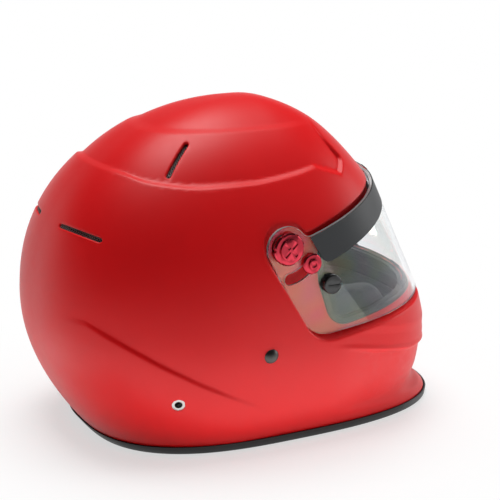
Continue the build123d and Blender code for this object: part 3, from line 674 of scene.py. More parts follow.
def thinned(loop, least):
    """The loop without points closer than least to the one before, in order of the loop."""
    kept = [loop[0]]
    for point in loop[1:]:
        if math.hypot(point[0] - kept[-1][0], point[1] - kept[-1][1]) >= least:
            kept.append(point)
    if math.hypot(kept[0][0] - kept[-1][0], kept[0][1] - kept[-1][1]) < least:
        kept.pop()
    return kept


def shifted(loop, distance):
    """Loop moved to its outside by a distance; the loop runs anticlockwise or is turned so."""
    points = np.array(loop)
    if signed_area(points) < 0:
        points = points[::-1]
    ahead = np.roll(points, -1, axis=0) - np.roll(points, 1, axis=0)
    size = np.maximum(np.hypot(ahead[:, 0], ahead[:, 1]), 1e-9)
    normal = np.stack([ahead[:, 1] / size, -ahead[:, 0] / size], axis=1)
    return [tuple(p) for p in points + normal * distance]


def signed_area(points):
    """Area of a loop, positive where it runs anticlockwise."""
    ends = np.roll(points, -1, axis=0)
    return float(np.sum(points[:, 0] * ends[:, 1] - ends[:, 0] * points[:, 1]) / 2)


def inside_loop(loop, u, v):
    """Whether a place on the unrolled sheet lies inside a loop."""
    inside = False
    for (ua, va), (ub, vb) in zip(loop, loop[1:] + loop[:1]):
        if (va > v) != (vb > v) and u < ua + (v - va) * (ub - ua) / (vb - va):
            inside = not inside
    return inside


def plate_on_sheet(name, outer, holes, low, high, edge=0.4):
    """Plate that follows the sheet between two depths, its rims softened by a small chamfer."""
    loops = [shifted(outer, 0)] + [shifted(hole, 0) for hole in holes]
    inner = [shifted(outer, -edge)] + [shifted(hole, edge) for hole in holes]
    spots, edges = [], []
    for loop in inner:
        start = len(spots)
        spots += loop
        edges += [(start + i, start + (i + 1) % len(loop)) for i in range(len(loop))]
    us, vs = [p[0] for p in inner[0]], [p[1] for p in inner[0]]
    for u in np.arange(math.ceil(min(us) / GRID_ROUND) * GRID_ROUND, max(us), GRID_ROUND):
        for v in np.arange(math.ceil(min(vs) / GRID_ALONG) * GRID_ALONG, max(vs), GRID_ALONG):
            close = min((u - p[0]) ** 2 + (v - p[1]) ** 2 for loop in inner for p in loop[::2])
            in_hole = any(inside_loop(hole, u, v) for hole in inner[1:])
            if close > GRID_MARGIN**2 and inside_loop(inner[0], u, v) and not in_hole:
                spots.append((float(u), float(v)))
    placed, _, faces, origins, *_ = delaunay_2d_cdt([Vector(p) for p in spots], edges, [], 1, 1e-5)
    wanted = []
    for face in faces:
        u = sum(placed[i][0] for i in face) / 3
        v = sum(placed[i][1] for i in face) / 3
        if not any(inside_loop(hole, u, v) for hole in inner[1:]):
            wanted.append(face)
    count = len(placed)
    match = {}
    for new, old in enumerate(origins):
        for index in old:
            match[index] = new
    points = [on_sheet(p[0], p[1], high) for p in placed] + [on_sheet(p[0], p[1], low) for p in placed]
    polygons = [tuple(f) for f in wanted] + [tuple(count + i for i in reversed(f)) for f in wanted]
    start = 0
    for loop, rim in zip(loops, inner):
        size = len(rim)
        top = len(points)
        points += [on_sheet(p[0], p[1], high - edge) for p in loop]
        points += [on_sheet(p[0], p[1], low + edge) for p in loop]
        for i in range(size):
            j = (i + 1) % size
            a, b = match[start + i], match[start + j]
            polygons.append((a, b, top + j, top + i))
            polygons.append((top + i, top + j, top + size + j, top + size + i))
            polygons.append((top + size + i, top + size + j, count + b, count + a))
        start += size
    obj = mesh_object(name, points, polygons, 25)
    rim = np.arange(len(points)) >= 2 * count
    obj.data.attributes.new("cut_edge", "FLOAT", "POINT").data.foreach_set("value", rim.astype(np.float32))
    outwards(obj)
    shade(obj, 25)
    return obj


def circle_loop(ahead, drop, radius, count=40):
    """Circle on the flat part of the sheet, its middle measured from the pivot in the side view."""
    y, z = from_pivot((-ahead, -drop))
    turns = [math.tau * k / count for k in range(count)]
    return [unrolled(y + radius * math.cos(a), z + radius * math.sin(a)) for a in turns]


def arc_slot_loop(radius, width, start, end, count=24):
    """Round-ended slot about the pivot, between two angles of the side view in degrees."""
    first, last = math.radians(start), math.radians(end)
    half = width / 2
    far_side = [((radius + half) * math.cos(a), (radius + half) * math.sin(a))
                for a in np.linspace(first, last, count)]
    near_side = [((radius - half) * math.cos(a), (radius - half) * math.sin(a))
                 for a in np.linspace(last, first, count)]
    places = list(far_side)
    for angle, sign, side in ((last, 1, near_side), (first, -1, [])):
        middle = radius * math.cos(angle), radius * math.sin(angle)
        places += [
            (middle[0] + sign * half * math.cos(angle + b), middle[1] + sign * half * math.sin(angle + b))
            for b in np.linspace(0, math.pi, 13)[1:-1]
        ] + side
    return [unrolled(*from_pivot(place)) for place in places]


def swept_on_sheet(name, loop, profile):
    """Profile of (outwards, depth) pairs carried along a loop of the unrolled sheet."""
    rings = [shifted(loop, out) for out, _ in profile]
    size, count = len(rings[0]), len(profile)
    points = [on_sheet(p[0], p[1], profile[k][1]) for k in range(count) for p in rings[k]]
    faces = []
    for k in range(count):
        m = (k + 1) % count
        for i in range(size):
            j = (i + 1) % size
            faces.append((k * size + i, k * size + j, m * size + j, m * size + i))
    obj = mesh_object(name, points, faces, 35)
    outwards(obj)
    shade(obj, 35)
    return obj


# Materials

def linear(code):
    """Linear colour from an sRGB hex code."""
    values = [int(code[i:i + 2], 16) / 255 for i in (0, 2, 4)]
    return tuple(v / 12.92 if v <= 0.04045 else ((v + 0.055) / 1.055) ** 2.4 for v in values) + (1.0,)


def add_node(tree, kind, inputs, **settings):
    """Adds one node with its settings; an input is a plain value or the output that feeds it."""
    node = tree.nodes.new(kind)
    for name, value in settings.items():
        setattr(node, name, value)
    for socket, value in inputs.items():
        if isinstance(value, bpy.types.NodeSocket):
            tree.links.new(value, node.inputs[socket])
        else:
            node.inputs[socket].default_value = value
    return node


def start_finish(name, color, roughness, **sockets):
    """Material with one shader, and the node tree, shader and place on the piece to build on."""
    material = bpy.data.materials.new(name)
    material.use_nodes = True
    tree = material.node_tree
    shader = tree.nodes["Principled BSDF"]
    shader.inputs["Base Color"].default_value = linear(color)
    shader.inputs["Roughness"].default_value = roughness
    for socket, value in sockets.items():
        shader.inputs[socket.replace("_", " ")].default_value = value
    place = add_node(tree, "ShaderNodeTexCoord", {}).outputs["Object"]
    return material, tree, shader, place


def satin_red_lacquer():
    """Two pack red lacquer, sprayed on the outside of a carbon shell and left satin.

    It gives the eye a deep even red, wide soft highlights, a pale haze at the edges of the
    form and a very fine orange peel, 1.2 mm from crest to crest. The inside is bare dark carbon.
    """
    material, tree, shader, place = start_finish(
        "satin_red_lacquer", "E40A10", 0.45,
        Specular_IOR_Level=0.32, Sheen_Weight=0.05, Sheen_Roughness=0.35)
    cloud = add_node(tree, "ShaderNodeTexNoise", {"Vector": place, "Scale": 1 / (60 * MM), "Detail": 2.0})
    tone = add_node(tree, "ShaderNodeMix", {
        "Factor": cloud.outputs[0], "A": linear("DE090F"), "B": linear("E90C12")}, data_type="RGBA")
    inside = add_node(tree, "ShaderNodeAttribute", {}, attribute_name="inside").outputs["Fac"]
    coated = add_node(tree, "ShaderNodeMix", {
        "Factor": inside, "A": tone.outputs["Result"], "B": linear("17181A")}, data_type="RGBA")
    haze = add_node(tree, "ShaderNodeTexNoise", {"Vector": place, "Scale": 1 / (7 * MM), "Detail": 3.0})
    rough = add_node(tree, "ShaderNodeMapRange", {"Value": haze.outputs[0], "To Min": 0.39, "To Max": 0.47})
    peel = add_node(tree, "ShaderNodeTexNoise", {"Vector": place, "Scale": 1 / (1.2 * MM), "Detail": 1.0})
    relief = add_node(tree, "ShaderNodeBump", {
        "Height": peel.outputs[0], "Strength": 0.12, "Distance": 0.03 * MM})
    tree.links.new(coated.outputs["Result"], shader.inputs["Base Color"])
    tree.links.new(rough.outputs[0], shader.inputs["Roughness"])
    tree.links.new(relief.outputs[0], shader.inputs["Normal"])
    return material


def hard_coated_polycarbonate():
    """Clear polycarbonate, moulded, polished and dipped in a hard coat a few hundred nanometres thick.

    It gives the eye sharp reflections, pale cut edges and a faint rainbow where the coat's
    thickness drifts, over patches about 45 mm wide.
    """
    material, tree, shader, place = start_finish(
        "hard_coated_polycarbonate", "FCFDFD", 0.02, IOR=1.5, Transmission_Weight=1.0, Coat_Weight=0.08,
        Coat_Roughness=0.04, Coat_IOR=1.6, Thin_Film_IOR=1.42)
    drift = add_node(tree, "ShaderNodeTexNoise", {"Vector": place, "Scale": 1 / (45 * MM), "Detail": 1.0})
    film = add_node(tree, "ShaderNodeMapRange", {
        "Value": drift.outputs[0], "From Min": 0.3, "From Max": 0.7, "To Min": 330.0, "To Max": 520.0})
    wipe = add_node(tree, "ShaderNodeTexNoise", {"Vector": place, "Scale": 1 / (9 * MM), "Detail": 4.0})
    smear = add_node(tree, "ShaderNodeMapRange", {
        "Value": wipe.outputs[0], "To Min": 0.01, "To Max": 0.035})
    edge = add_node(tree, "ShaderNodeAttribute", {}, attribute_name="cut_edge").outputs["Fac"]
    rough = add_node(tree, "ShaderNodeMix", {"Factor": edge, "A": smear.outputs[0], "B": 0.3})
    clear = add_node(tree, "ShaderNodeMapRange", {"Value": edge, "To Min": 1.0, "To Max": 0.8})
    tree.links.new(film.outputs[0], shader.inputs["Thin Film Thickness"])
    tree.links.new(rough.outputs[0], shader.inputs["Roughness"])
    tree.links.new(clear.outputs[0], shader.inputs["Transmission Weight"])
    return material


def printed_film():
    """Dark grey vinyl film with a matte face, cut and pressed on: even grey, dull and slightly grained."""
    material, tree, shader, place = start_finish(
        "matte_grey_vinyl_film", "25282B", 0.5, Specular_IOR_Level=0.4)
    grain = add_node(tree, "ShaderNodeTexNoise", {"Vector": place, "Scale": 1 / (0.7 * MM), "Detail": 3.0})
    tone = add_node(tree, "ShaderNodeMix", {
        "Factor": grain.outputs[0], "A": linear("222528"), "B": linear("282B2E")}, data_type="RGBA")
    relief = add_node(tree, "ShaderNodeBump", {
        "Height": grain.outputs[0], "Strength": 0.15, "Distance": 0.02 * MM})
    tree.links.new(tone.outputs["Result"], shader.inputs["Base Color"])
    tree.links.new(relief.outputs[0], shader.inputs["Normal"])
    return material


def rubber(name, color, lighter, roughness, grain_size):
    """Synthetic rubber, extruded or moulded: nearly black, a dull sheen and a faint drawn grain."""
    material, tree, shader, place = start_finish(name, color, roughness, Specular_IOR_Level=0.45)
    bloom = add_node(tree, "ShaderNodeTexNoise", {"Vector": place, "Scale": 1 / (14 * MM), "Detail": 3.0})
    tone = add_node(tree, "ShaderNodeMix", {
        "Factor": bloom.outputs[0], "A": linear(color), "B": linear(lighter)}, data_type="RGBA")
    rough = add_node(tree, "ShaderNodeMapRange", {
        "Value": bloom.outputs[0], "To Min": roughness - 0.08, "To Max": roughness + 0.08})
    grain = add_node(tree, "ShaderNodeTexNoise", {
        "Vector": place, "Scale": 1 / (grain_size * MM), "Detail": 2.0})
    relief = add_node(tree, "ShaderNodeBump", {
        "Height": grain.outputs[0], "Strength": 0.25, "Distance": 0.05 * MM})
    tree.links.new(tone.outputs["Result"], shader.inputs["Base Color"])
    tree.links.new(rough.outputs[0], shader.inputs["Roughness"])
    tree.links.new(relief.outputs[0], shader.inputs["Normal"])
    return material


def fire_resistant_knit():
    """Aramid jersey knitted in fine ribs and glued over foam: matte charcoal with a soft pile at the edges.

    The loops are 1 mm apart in the cloth, and are drawn 1.6 mm apart so that they show.
    """
    material, tree, shader, place = start_finish("fire_resistant_knit", "23262A", 0.92, Sheen_Weight=0.3,
                                                 Sheen_Roughness=0.5, Specular_IOR_Level=0.3)
    ribs = add_node(tree, "ShaderNodeTexWave", {
        "Vector": place, "Scale": 1 / (1.6 * MM) / 3.2,
        "Distortion": 2.5, "Detail": 1.0, "Detail Scale": 3.0},
        wave_type="BANDS", bands_direction="DIAGONAL")
    wear = add_node(tree, "ShaderNodeTexNoise", {"Vector": place, "Scale": 1 / (22 * MM), "Detail": 3.0})
    tone = add_node(tree, "ShaderNodeMix", {
        "Factor": wear.outputs[0], "A": linear("1E2125"), "B": linear("2E3237")}, data_type="RGBA")
    relief = add_node(tree, "ShaderNodeBump", {
        "Height": ribs.outputs[1], "Strength": 0.4, "Distance": 0.3 * MM})
    tree.links.new(tone.outputs["Result"], shader.inputs["Base Color"])
    tree.links.new(relief.outputs[0], shader.inputs["Normal"])
    return material


def nylon_webbing():
    """Nylon webbing woven flat in a twill: black threads in slanting rows, with a dull lustre.

    The threads are 0.9 mm wide, and are drawn 1.4 mm wide so that they show.
    """
    material, tree, shader, place = start_finish("woven_nylon_webbing", "15171A", 0.72, Sheen_Weight=0.25)
    twill = add_node(tree, "ShaderNodeTexWave", {
        "Vector": place, "Scale": 1 / (1.4 * MM) / 3.2, "Distortion": 0.8, "Detail": 1.0},
        wave_type="BANDS", bands_direction="DIAGONAL")
    tone = add_node(tree, "ShaderNodeMix", {
        "Factor": twill.outputs[1], "A": linear("0E0F11"), "B": linear("222529")}, data_type="RGBA")
    relief = add_node(tree, "ShaderNodeBump", {
        "Height": twill.outputs[1], "Strength": 0.6, "Distance": 0.35 * MM})
    tree.links.new(tone.outputs["Result"], shader.inputs["Base Color"])
    tree.links.new(relief.outputs[0], shader.inputs["Normal"])
    return material


def machined_metal(name, color, roughness, mark_size):
    """Metal turned or stamped, then bare, anodised or blackened.

    It gives the eye its own colour in the reflections, fine tool marks and soft glints.
    """
    material, tree, shader, place = start_finish(name, color, roughness, Metallic=1.0)
    marks = add_node(tree, "ShaderNodeTexNoise", {
        "Vector": place, "Scale": 1 / (mark_size * MM), "Detail": 4.0})
    rough = add_node(tree, "ShaderNodeMapRange", {
        "Value": marks.outputs[0], "To Min": roughness - 0.07, "To Max": roughness + 0.09})
    relief = add_node(tree, "ShaderNodeBump", {
        "Height": marks.outputs[0], "Strength": 0.12, "Distance": 0.02 * MM})
    tree.links.new(rough.outputs[0], shader.inputs["Roughness"])
    tree.links.new(relief.outputs[0], shader.inputs["Normal"])
    return material


def moulded_plastic(name, color, roughness):
    """Nylon or acetal, injection moulded: an even colour and a fine moulded grain, glossy where polished."""
    material, tree, shader, place = start_finish(name, color, roughness)
    grain = add_node(tree, "ShaderNodeTexNoise", {"Vector": place, "Scale": 1 / (0.5 * MM), "Detail": 2.0})
    rough = add_node(tree, "ShaderNodeMapRange", {
        "Value": grain.outputs[0], "To Min": roughness - 0.05, "To Max": roughness + 0.05})
    relief = add_node(tree, "ShaderNodeBump", {
        "Height": grain.outputs[0], "Strength": 0.1, "Distance": 0.02 * MM})
    tree.links.new(rough.outputs[0], shader.inputs["Roughness"])
    tree.links.new(relief.outputs[0], shader.inputs["Normal"])
    return material


def polystyrene_bead_foam():
    """Expanded polystyrene, moulded from beads 3 mm across: dark grey cells pressed together, dull."""
    material, tree, shader, place = start_finish("polystyrene_bead_foam", "2A2B2E", 0.85)
    beads = add_node(tree, "ShaderNodeTexVoronoi", {"Vector": place, "Scale": 1 / (3 * MM)})
    tone = add_node(tree, "ShaderNodeMix", {
        "Factor": beads.outputs[0], "A": linear("333438"), "B": linear("1D1E20")}, data_type="RGBA")
    relief = add_node(tree, "ShaderNodeBump", {
        "Height": beads.outputs[0], "Strength": 0.4, "Distance": 0.4 * MM}, invert=True)
    tree.links.new(tone.outputs["Result"], shader.inputs["Base Color"])
    tree.links.new(relief.outputs[0], shader.inputs["Normal"])
    return material


def finish_with(obj, material, body="shell"):
    """Gives a piece its material and the body that it rides on."""
    obj.data.materials.clear()
    obj.data.materials.append(material)
    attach(obj, body)
    return obj


# The shell

SLOT_WIDTH = 3.6
SLOT_DEPTH = 26.0
CROWN_SLOT_PLACES = ((56.0, 70.5), (70.0, 92.5))
REAR_SLOT_PLACES = ((24.0, 180.5), (68.0, 177.5))
TETHER_BEHIND_WIDEST = 102.0
TETHER_LEVEL = 51.0
TETHER_HOLE_RADIUS = 4.9
SWING_RADIUS = 38.0
SWING_FLAT_X = 112.4
POCKET_EDGE = 1.6
SWING_EDGE = 1.0
PORT_EDGE = 0.8
SLOT_EDGE = 0.5


def crown_level(px, behind):
    """Height of the crown over a place in the plan, found by halving."""
    low, high = SIDE_WIDEST_LEVEL, TOTAL_HEIGHT
    for _ in range(40):
        middle = (low + high) / 2
        across = (px / reach_at(middle, "side")) ** REAR_SQUARENESS
        inside = across + (behind / reach_at(middle, "rear")) ** REAR_SQUARENESS < 1
        low, high = (middle, high) if inside else (low, middle)
    return low


def rear_point(px, level):
    """Point on the plain form's rear at a place across and a level."""
    share = (px / reach_at(level, "side")) ** REAR_SQUARENESS
    return Vector((px, WIDEST_Y + reach_at(level, "rear") * (1 - share) ** (1 / REAR_SQUARENESS), level))


def crown_slot():
    """The two ends of the vent slot in the left of the crown."""
    return [Vector((px, WIDEST_Y + behind, crown_level(px, behind))) for px, behind in CROWN_SLOT_PLACES]


def rear_slot():
    """The two ends of the vent slot in the left of the rear."""
    return [rear_point(px, level) for px, level in REAR_SLOT_PLACES]


def slot_frame(start, end):
    """Matrix in the middle of a slot, X along it and Z out of the shell, and the slot's length."""
    middle = (start + end) / 2
    along = (end - start).normalized()
    out = middle - Vector((0, WIDEST_Y, SIDE_WIDEST_LEVEL))
    out = (out - along * out.dot(along)).normalized()
    rows = Matrix((along, out.cross(along), out)).transposed().to_4x4()
    return Matrix.Translation(middle) @ rows, (end - start).length


def slot_field(x, y, z, start, end):
    """Distance from a slot's round-ended bar, negative inside it."""
    placed, length = slot_frame(start, end)
    along, wide, out = (np.array(placed.to_3x3().col[i]) for i in range(3))
    centre = placed.translation
    dx, dy, dz = x[:, None, None] - centre[0], y[None, :, None] - centre[1], z[None, None, :] - centre[2]
    u = dx * along[0] + dy * along[1] + dz * along[2]
    v = dx * wide[0] + dy * wide[1] + dz * wide[2]
    w = dx * out[0] + dy * out[1] + dz * out[2]
    flat = np.sqrt(np.maximum(np.abs(u) - length / 2, 0) ** 2 + v * v) - SLOT_WIDTH / 2
    return np.maximum(flat, np.abs(w) - SLOT_DEPTH)


def swing_field(y, z):
    """Distance in the side view from what the visor's upper corner sweeps, negative inside it."""
    ahead, above = np.meshgrid(PIVOT_Y - y, z - PIVOT_LEVEL, indexing="ij")
    steep = Vector((1, 2)).normalized()
    past_steep = above * steep.x - ahead * steep.y
    return np.maximum(np.hypot(ahead, above) - SWING_RADIUS, np.maximum(-above, past_steep))


def mark_inside(obj, outer, origin):
    """Vertex value that is 1 on the bare inside of the shell, from its outside's field on one half."""
    spots = np.empty(len(obj.data.vertices) * 3, dtype=np.float32)
    obj.data.vertices.foreach_get("co", spots)
    places = np.abs(spots.reshape(-1, 3) / MM * (1, 0, 0)) + spots.reshape(-1, 3) / MM * (0, 1, 1)
    steps = np.rint((places - np.array(origin)) / VOXEL).astype(int)
    steps = np.clip(steps, 0, np.array(outer.shape) - 1)
    deep = outer[tuple(steps.T)] < -SHELL_WALL / 2
    obj.data.attributes.new("inside", "FLOAT", "POINT").data.foreach_set("value", deep.astype(np.float32))


def make_shell():
    """Shell of even wall with its steps, recess, eye port, vent slots and bores, from distance fields."""
    x = np.arange(0, HALF_WIDTH + 8, VOXEL)
    y = np.arange(WIDEST_Y - FRONT_REACH - 6, WIDEST_Y + REAR_REACH + 6, VOXEL)
    z = np.arange(-3, TOTAL_HEIGHT + 6, VOXEL)
    base = form_field(x, y, z) + step_inset(y, z)[None, :, :]
    in_margin = POCKET_MARGIN - polygon_distance(visor_path(), y, z)[None, :, :]
    floor = sheet_field(x, y, z, VISOR_FLOOR)
    outer = smooth_max(base - relief(x, y, z), np.minimum(floor, in_margin), POCKET_EDGE)
    beside_ear = np.minimum((x - SWING_FLAT_X)[:, None, None], -swing_field(y, z)[None, :, :])
    outer = smooth_max(outer, beside_ear.astype(np.float32), SWING_EDGE)
    hollow = np.maximum(base + SHELL_WALL, np.minimum(floor, in_margin) + SHELL_WALL)
    shell = np.maximum(outer, -hollow)
    port = polygon_distance(port_path(), y, z)[None, :, :]
    shell = smooth_max(shell, -port, PORT_EDGE)
    shell = np.maximum(shell, TRIM_FLOOR - z[None, None, :])
    insert = side_frame(TETHER_BEHIND_WIDEST, TETHER_LEVEL, 1)
    bore = tube_field(x, y, z, insert.translation, insert.to_3x3().col[2], TETHER_HOLE_RADIUS)
    shell = np.maximum(shell, -bore)
    for ends in (crown_slot(), rear_slot()):
        shell = smooth_max(shell, -slot_field(x, y, z, *ends), SLOT_EDGE)
    whole = np.concatenate([shell[:0:-1], shell], axis=0)
    origin = (-(len(x) - 1) * VOXEL, y[0], z[0])
    obj = field_mesh("outer_shell_skin", whole, origin, SHELL_TRIANGLES)
    mark_inside(obj, outer, (0, y[0], z[0]))
    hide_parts("outer_shell")
    return obj


# Woven mesh in the vent slots

MESH_SIZES = {"Pitch": 1.7, "Wire": 0.24, "Wave": 0.16}
VENT_PLACES = {"crown_vent_mesh": (crown_slot, 4.4, 0.4), "rear_vent_mesh": (rear_slot, 1.5, 2.2)}


def woven_mesh_tree(material):
    """Geometry Nodes tree: crossing wires on the slant, waved over and under, cut to a round-ended slot.

    The wires' real pitch is 1.2 mm, and it is drawn as 1.7 mm so that it shows.
    """
    tree = bpy.data.node_groups.new("woven_vent_mesh", "GeometryNodeTree")
    for name in ("Length", "Width", "Pitch", "Wire", "Wave", "Bulge"):
        tree.interface.new_socket(name, in_out="INPUT", socket_type="NodeSocketFloat")
    tree.interface.new_socket("Geometry", in_out="OUTPUT", socket_type="NodeSocketGeometry")
    sizes = add_node(tree, "NodeGroupInput", {}).outputs
    half = add_node(tree, "ShaderNodeMath", {0: sizes["Length"], 1: 0.5}, operation="MULTIPLY").outputs[0]
    edge = add_node(tree, "ShaderNodeMath", {0: sizes["Width"], 1: 0.5}, operation="MULTIPLY").outputs[0]
    span = add_node(tree, "ShaderNodeMath", {
        0: sizes["Length"], 1: sizes["Width"]}, operation="ADD").outputs[0]
    wires = add_node(tree, "ShaderNodeMath", {0: span, 1: sizes["Pitch"]}, operation="DIVIDE").outputs[0]
    count = add_node(tree, "ShaderNodeMath", {0: wires}, operation="ROUND").outputs[0]
    grid = add_node(tree, "GeometryNodeMeshGrid", {
        "Size X": span, "Size Y": span, "Vertices X": count, "Vertices Y": count})
    index = add_node(tree, "GeometryNodeInputIndex", {}).outputs[0]
    row = add_node(tree, "ShaderNodeMath", {0: index, 1: count}, operation="DIVIDE").outputs[0]
    row = add_node(tree, "ShaderNodeMath", {0: row}, operation="FLOOR").outputs[0]
    place = add_node(tree, "ShaderNodeMath", {0: index, 1: row}, operation="ADD").outputs[0]
    skip = add_node(tree, "ShaderNodeMath", {
        0: row, 1: count, 2: place}, operation="MULTIPLY_ADD").outputs[0]
    turn = add_node(tree, "ShaderNodeMath", {0: skip, 1: math.pi}, operation="MULTIPLY").outputs[0]
    over = add_node(tree, "ShaderNodeMath", {0: turn}, operation="COSINE").outputs[0]
    lift = add_node(tree, "ShaderNodeMath", {0: over, 1: sizes["Wave"]}, operation="MULTIPLY").outputs[0]
    rise = add_node(tree, "ShaderNodeCombineXYZ", {"Z": lift}).outputs[0]
    waved = add_node(tree, "GeometryNodeSetPosition", {"Geometry": grid.outputs["Mesh"], "Offset": rise})
    slanted = add_node(tree, "GeometryNodeTransform", {
        "Geometry": waved.outputs[0], "Rotation": (0.0, 0.0, math.pi / 4)})
    spot = add_node(tree, "ShaderNodeSeparateXYZ", {
        0: add_node(tree, "GeometryNodeInputPosition", {}).outputs[0]}).outputs
    along = add_node(tree, "ShaderNodeMath", {0: spot["X"]}, operation="ABSOLUTE").outputs[0]
    past = add_node(tree, "ShaderNodeMath", {0: along, 1: half}, operation="SUBTRACT").outputs[0]
    past = add_node(tree, "ShaderNodeMath", {0: past, 1: 0.0}, operation="MAXIMUM").outputs[0]
    away = add_node(tree, "ShaderNodeVectorMath", {
        0: add_node(tree, "ShaderNodeCombineXYZ", {"X": past, "Y": spot["Y"]}).outputs[0]},
        operation="LENGTH").outputs["Value"]
    limit = add_node(tree, "ShaderNodeMath", {
        0: sizes["Pitch"], 1: 0.6, 2: edge}, operation="MULTIPLY_ADD").outputs[0]
    outside = add_node(tree, "ShaderNodeMath", {0: away, 1: limit}, operation="GREATER_THAN").outputs[0]
    kept = add_node(tree, "GeometryNodeDeleteGeometry", {
        "Geometry": slanted.outputs[0], "Selection": outside}, domain="POINT")
    low_edge = add_node(tree, "ShaderNodeMath", {0: edge, 1: -1.0}, operation="MULTIPLY").outputs[0]
    within = add_node(tree, "ShaderNodeClamp", {
        "Value": spot["Y"], "Min": low_edge, "Max": edge}).outputs[0]
    share = add_node(tree, "ShaderNodeMath", {0: spot["X"], 1: half}, operation="DIVIDE").outputs[0]
    square = add_node(tree, "ShaderNodeMath", {0: share, 1: share}, operation="MULTIPLY").outputs[0]
    dip = add_node(tree, "ShaderNodeMath", {0: 1.0, 1: square}, operation="SUBTRACT").outputs[0]
    bulge = add_node(tree, "ShaderNodeMath", {
        0: dip, 1: sizes["Bulge"], 2: spot["Z"]}, operation="MULTIPLY_ADD").outputs[0]
    moved = add_node(tree, "ShaderNodeCombineXYZ", {"X": spot["X"], "Y": within, "Z": bulge}).outputs[0]
    fitted = add_node(tree, "GeometryNodeSetPosition", {"Geometry": kept.outputs[0], "Position": moved})
    strands = add_node(tree, "GeometryNodeMeshToCurve", {"Mesh": fitted.outputs[0]})
    section = add_node(tree, "GeometryNodeCurvePrimitiveCircle", {"Resolution": 5, "Radius": sizes["Wire"]})
    tubes = add_node(tree, "GeometryNodeCurveToMesh", {
        "Curve": strands.outputs[0], "Profile Curve": section.outputs["Curve"], "Fill Caps": True})
    whole = add_node(tree, "GeometryNodeRealizeInstances", {"Geometry": tubes.outputs[0]})
    coated = add_node(tree, "GeometryNodeSetMaterial", {"Geometry": whole.outputs[0], "Material": material})
    add_node(tree, "NodeGroupOutput", {"Geometry": coated.outputs[0]})
    return tree


def make_vent_mesh(tree, node, hand):
    """One slot's woven mesh, bent to the shell and set in its slot."""
    ends, depth, bulge = VENT_PLACES[node]
    placed, length = slot_frame(*ends())
    obj = mesh_object(node + "_" + hand + "_wires", [(0, 0, 0)], [])
    weave = obj.modifiers.new("weave", "NODES")
    weave.node_group = tree
    sizes = {"Length": length, "Width": SLOT_WIDTH, "Bulge": bulge, **MESH_SIZES}
    for socket in tree.interface.items_tree:
        if socket.name in sizes:
            weave[socket.identifier] = sizes[socket.name]
    apply_modifiers(obj)
    side = Matrix.Diagonal((-1 if hand == "right" else 1, 1, 1, 1))
    obj.data.transform(side @ placed @ Matrix.Translation((0, 0, -depth)))
    obj.data.transform(Matrix.Scale(MM, 4))
    outwards(obj)
    shade(obj, 60)
    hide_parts(node + "_" + hand)
    return obj


# Visor and seal

def make_visor():
    """Clear sheet with a hole for each pivot cap and tear-off post and a slot for each detent post."""
    loop = wrapped_loop(visor_path())
    holes = [
        circle_loop(0, 0, CAP_HOLE_RADIUS),
        arc_slot_loop(ARC_SLOT_RADIUS, ARC_SLOT_WIDTH, *ARC_SLOT_ENDS),
        circle_loop(POST_AHEAD, POST_DROP, POST_HOLE_RADIUS),
    ]
    holes += [[(-u, v) for u, v in hole] for hole in holes]
    obj = plate_on_sheet("visor_sheet", loop, holes, -VISOR_THICKNESS, 0.0)
    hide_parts("visor")
    return obj


def strip_path():
    """Side view of the dark strip along the visor's upper edge, its low rear corner rounded."""
    low, front_top = -VISOR_TOP_DROP - STRIP_HEIGHT, -VISOR_TOP_DROP - front_drop()
    top_rear = sheet_place(STRIP_REAR_AHEAD, -VISOR_TOP_DROP)
    low_rear = sheet_place(STRIP_REAR_AHEAD + STRIP_SKEW, low)
    top_front = sheet_place(VISOR_FRONT_REACH + FRONT_RUN, front_top)
    low_front = sheet_place(VISOR_FRONT_REACH + FRONT_RUN, low - front_drop() / 2)
    corners = [(*low_front, 0), (*low_rear, STRIP_CORNER_RADIUS), (*top_rear, 1.0), (*top_front, 0)]
    return rounded_path(corners, closed=False)


def make_strip():
    """Film on the outside of the visor's upper edge, its rim a little inside the sheet's."""
    loop = shifted(wrapped_loop(strip_path()), -STRIP_INSET)
    obj = plate_on_sheet("visor_top_strip_film", loop, [], STRIP_BACK, STRIP_FACE, edge=0.15)
    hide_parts("visor_top_strip")
    return obj


def make_gasket():
    """Rubber seal: a rounded lip on the pocket floor and a web in the cut edge of the shell."""
    loop = wrapped_loop(port_path())
    floor, top, deep = -VISOR_FLOOR, -VISOR_FLOOR + GASKET_LIP, -VISOR_FLOOR - SHELL_WALL - 2.0
    profile = [
        (3.4, floor + 0.1), (3.5, floor + 0.9), (2.9, top - 0.2), (1.8, top), (-0.6, top),
        (-1.6, top - 0.4), (-2.0, floor), (-2.0, deep + 0.5), (-1.6, deep), (-0.6, deep),
        (-0.2, deep + 0.5), (-0.15, floor + 0.1),
    ]
    obj = swept_on_sheet("eye_port_seal", loop, profile)
    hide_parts("eye_port_gasket")
    return obj


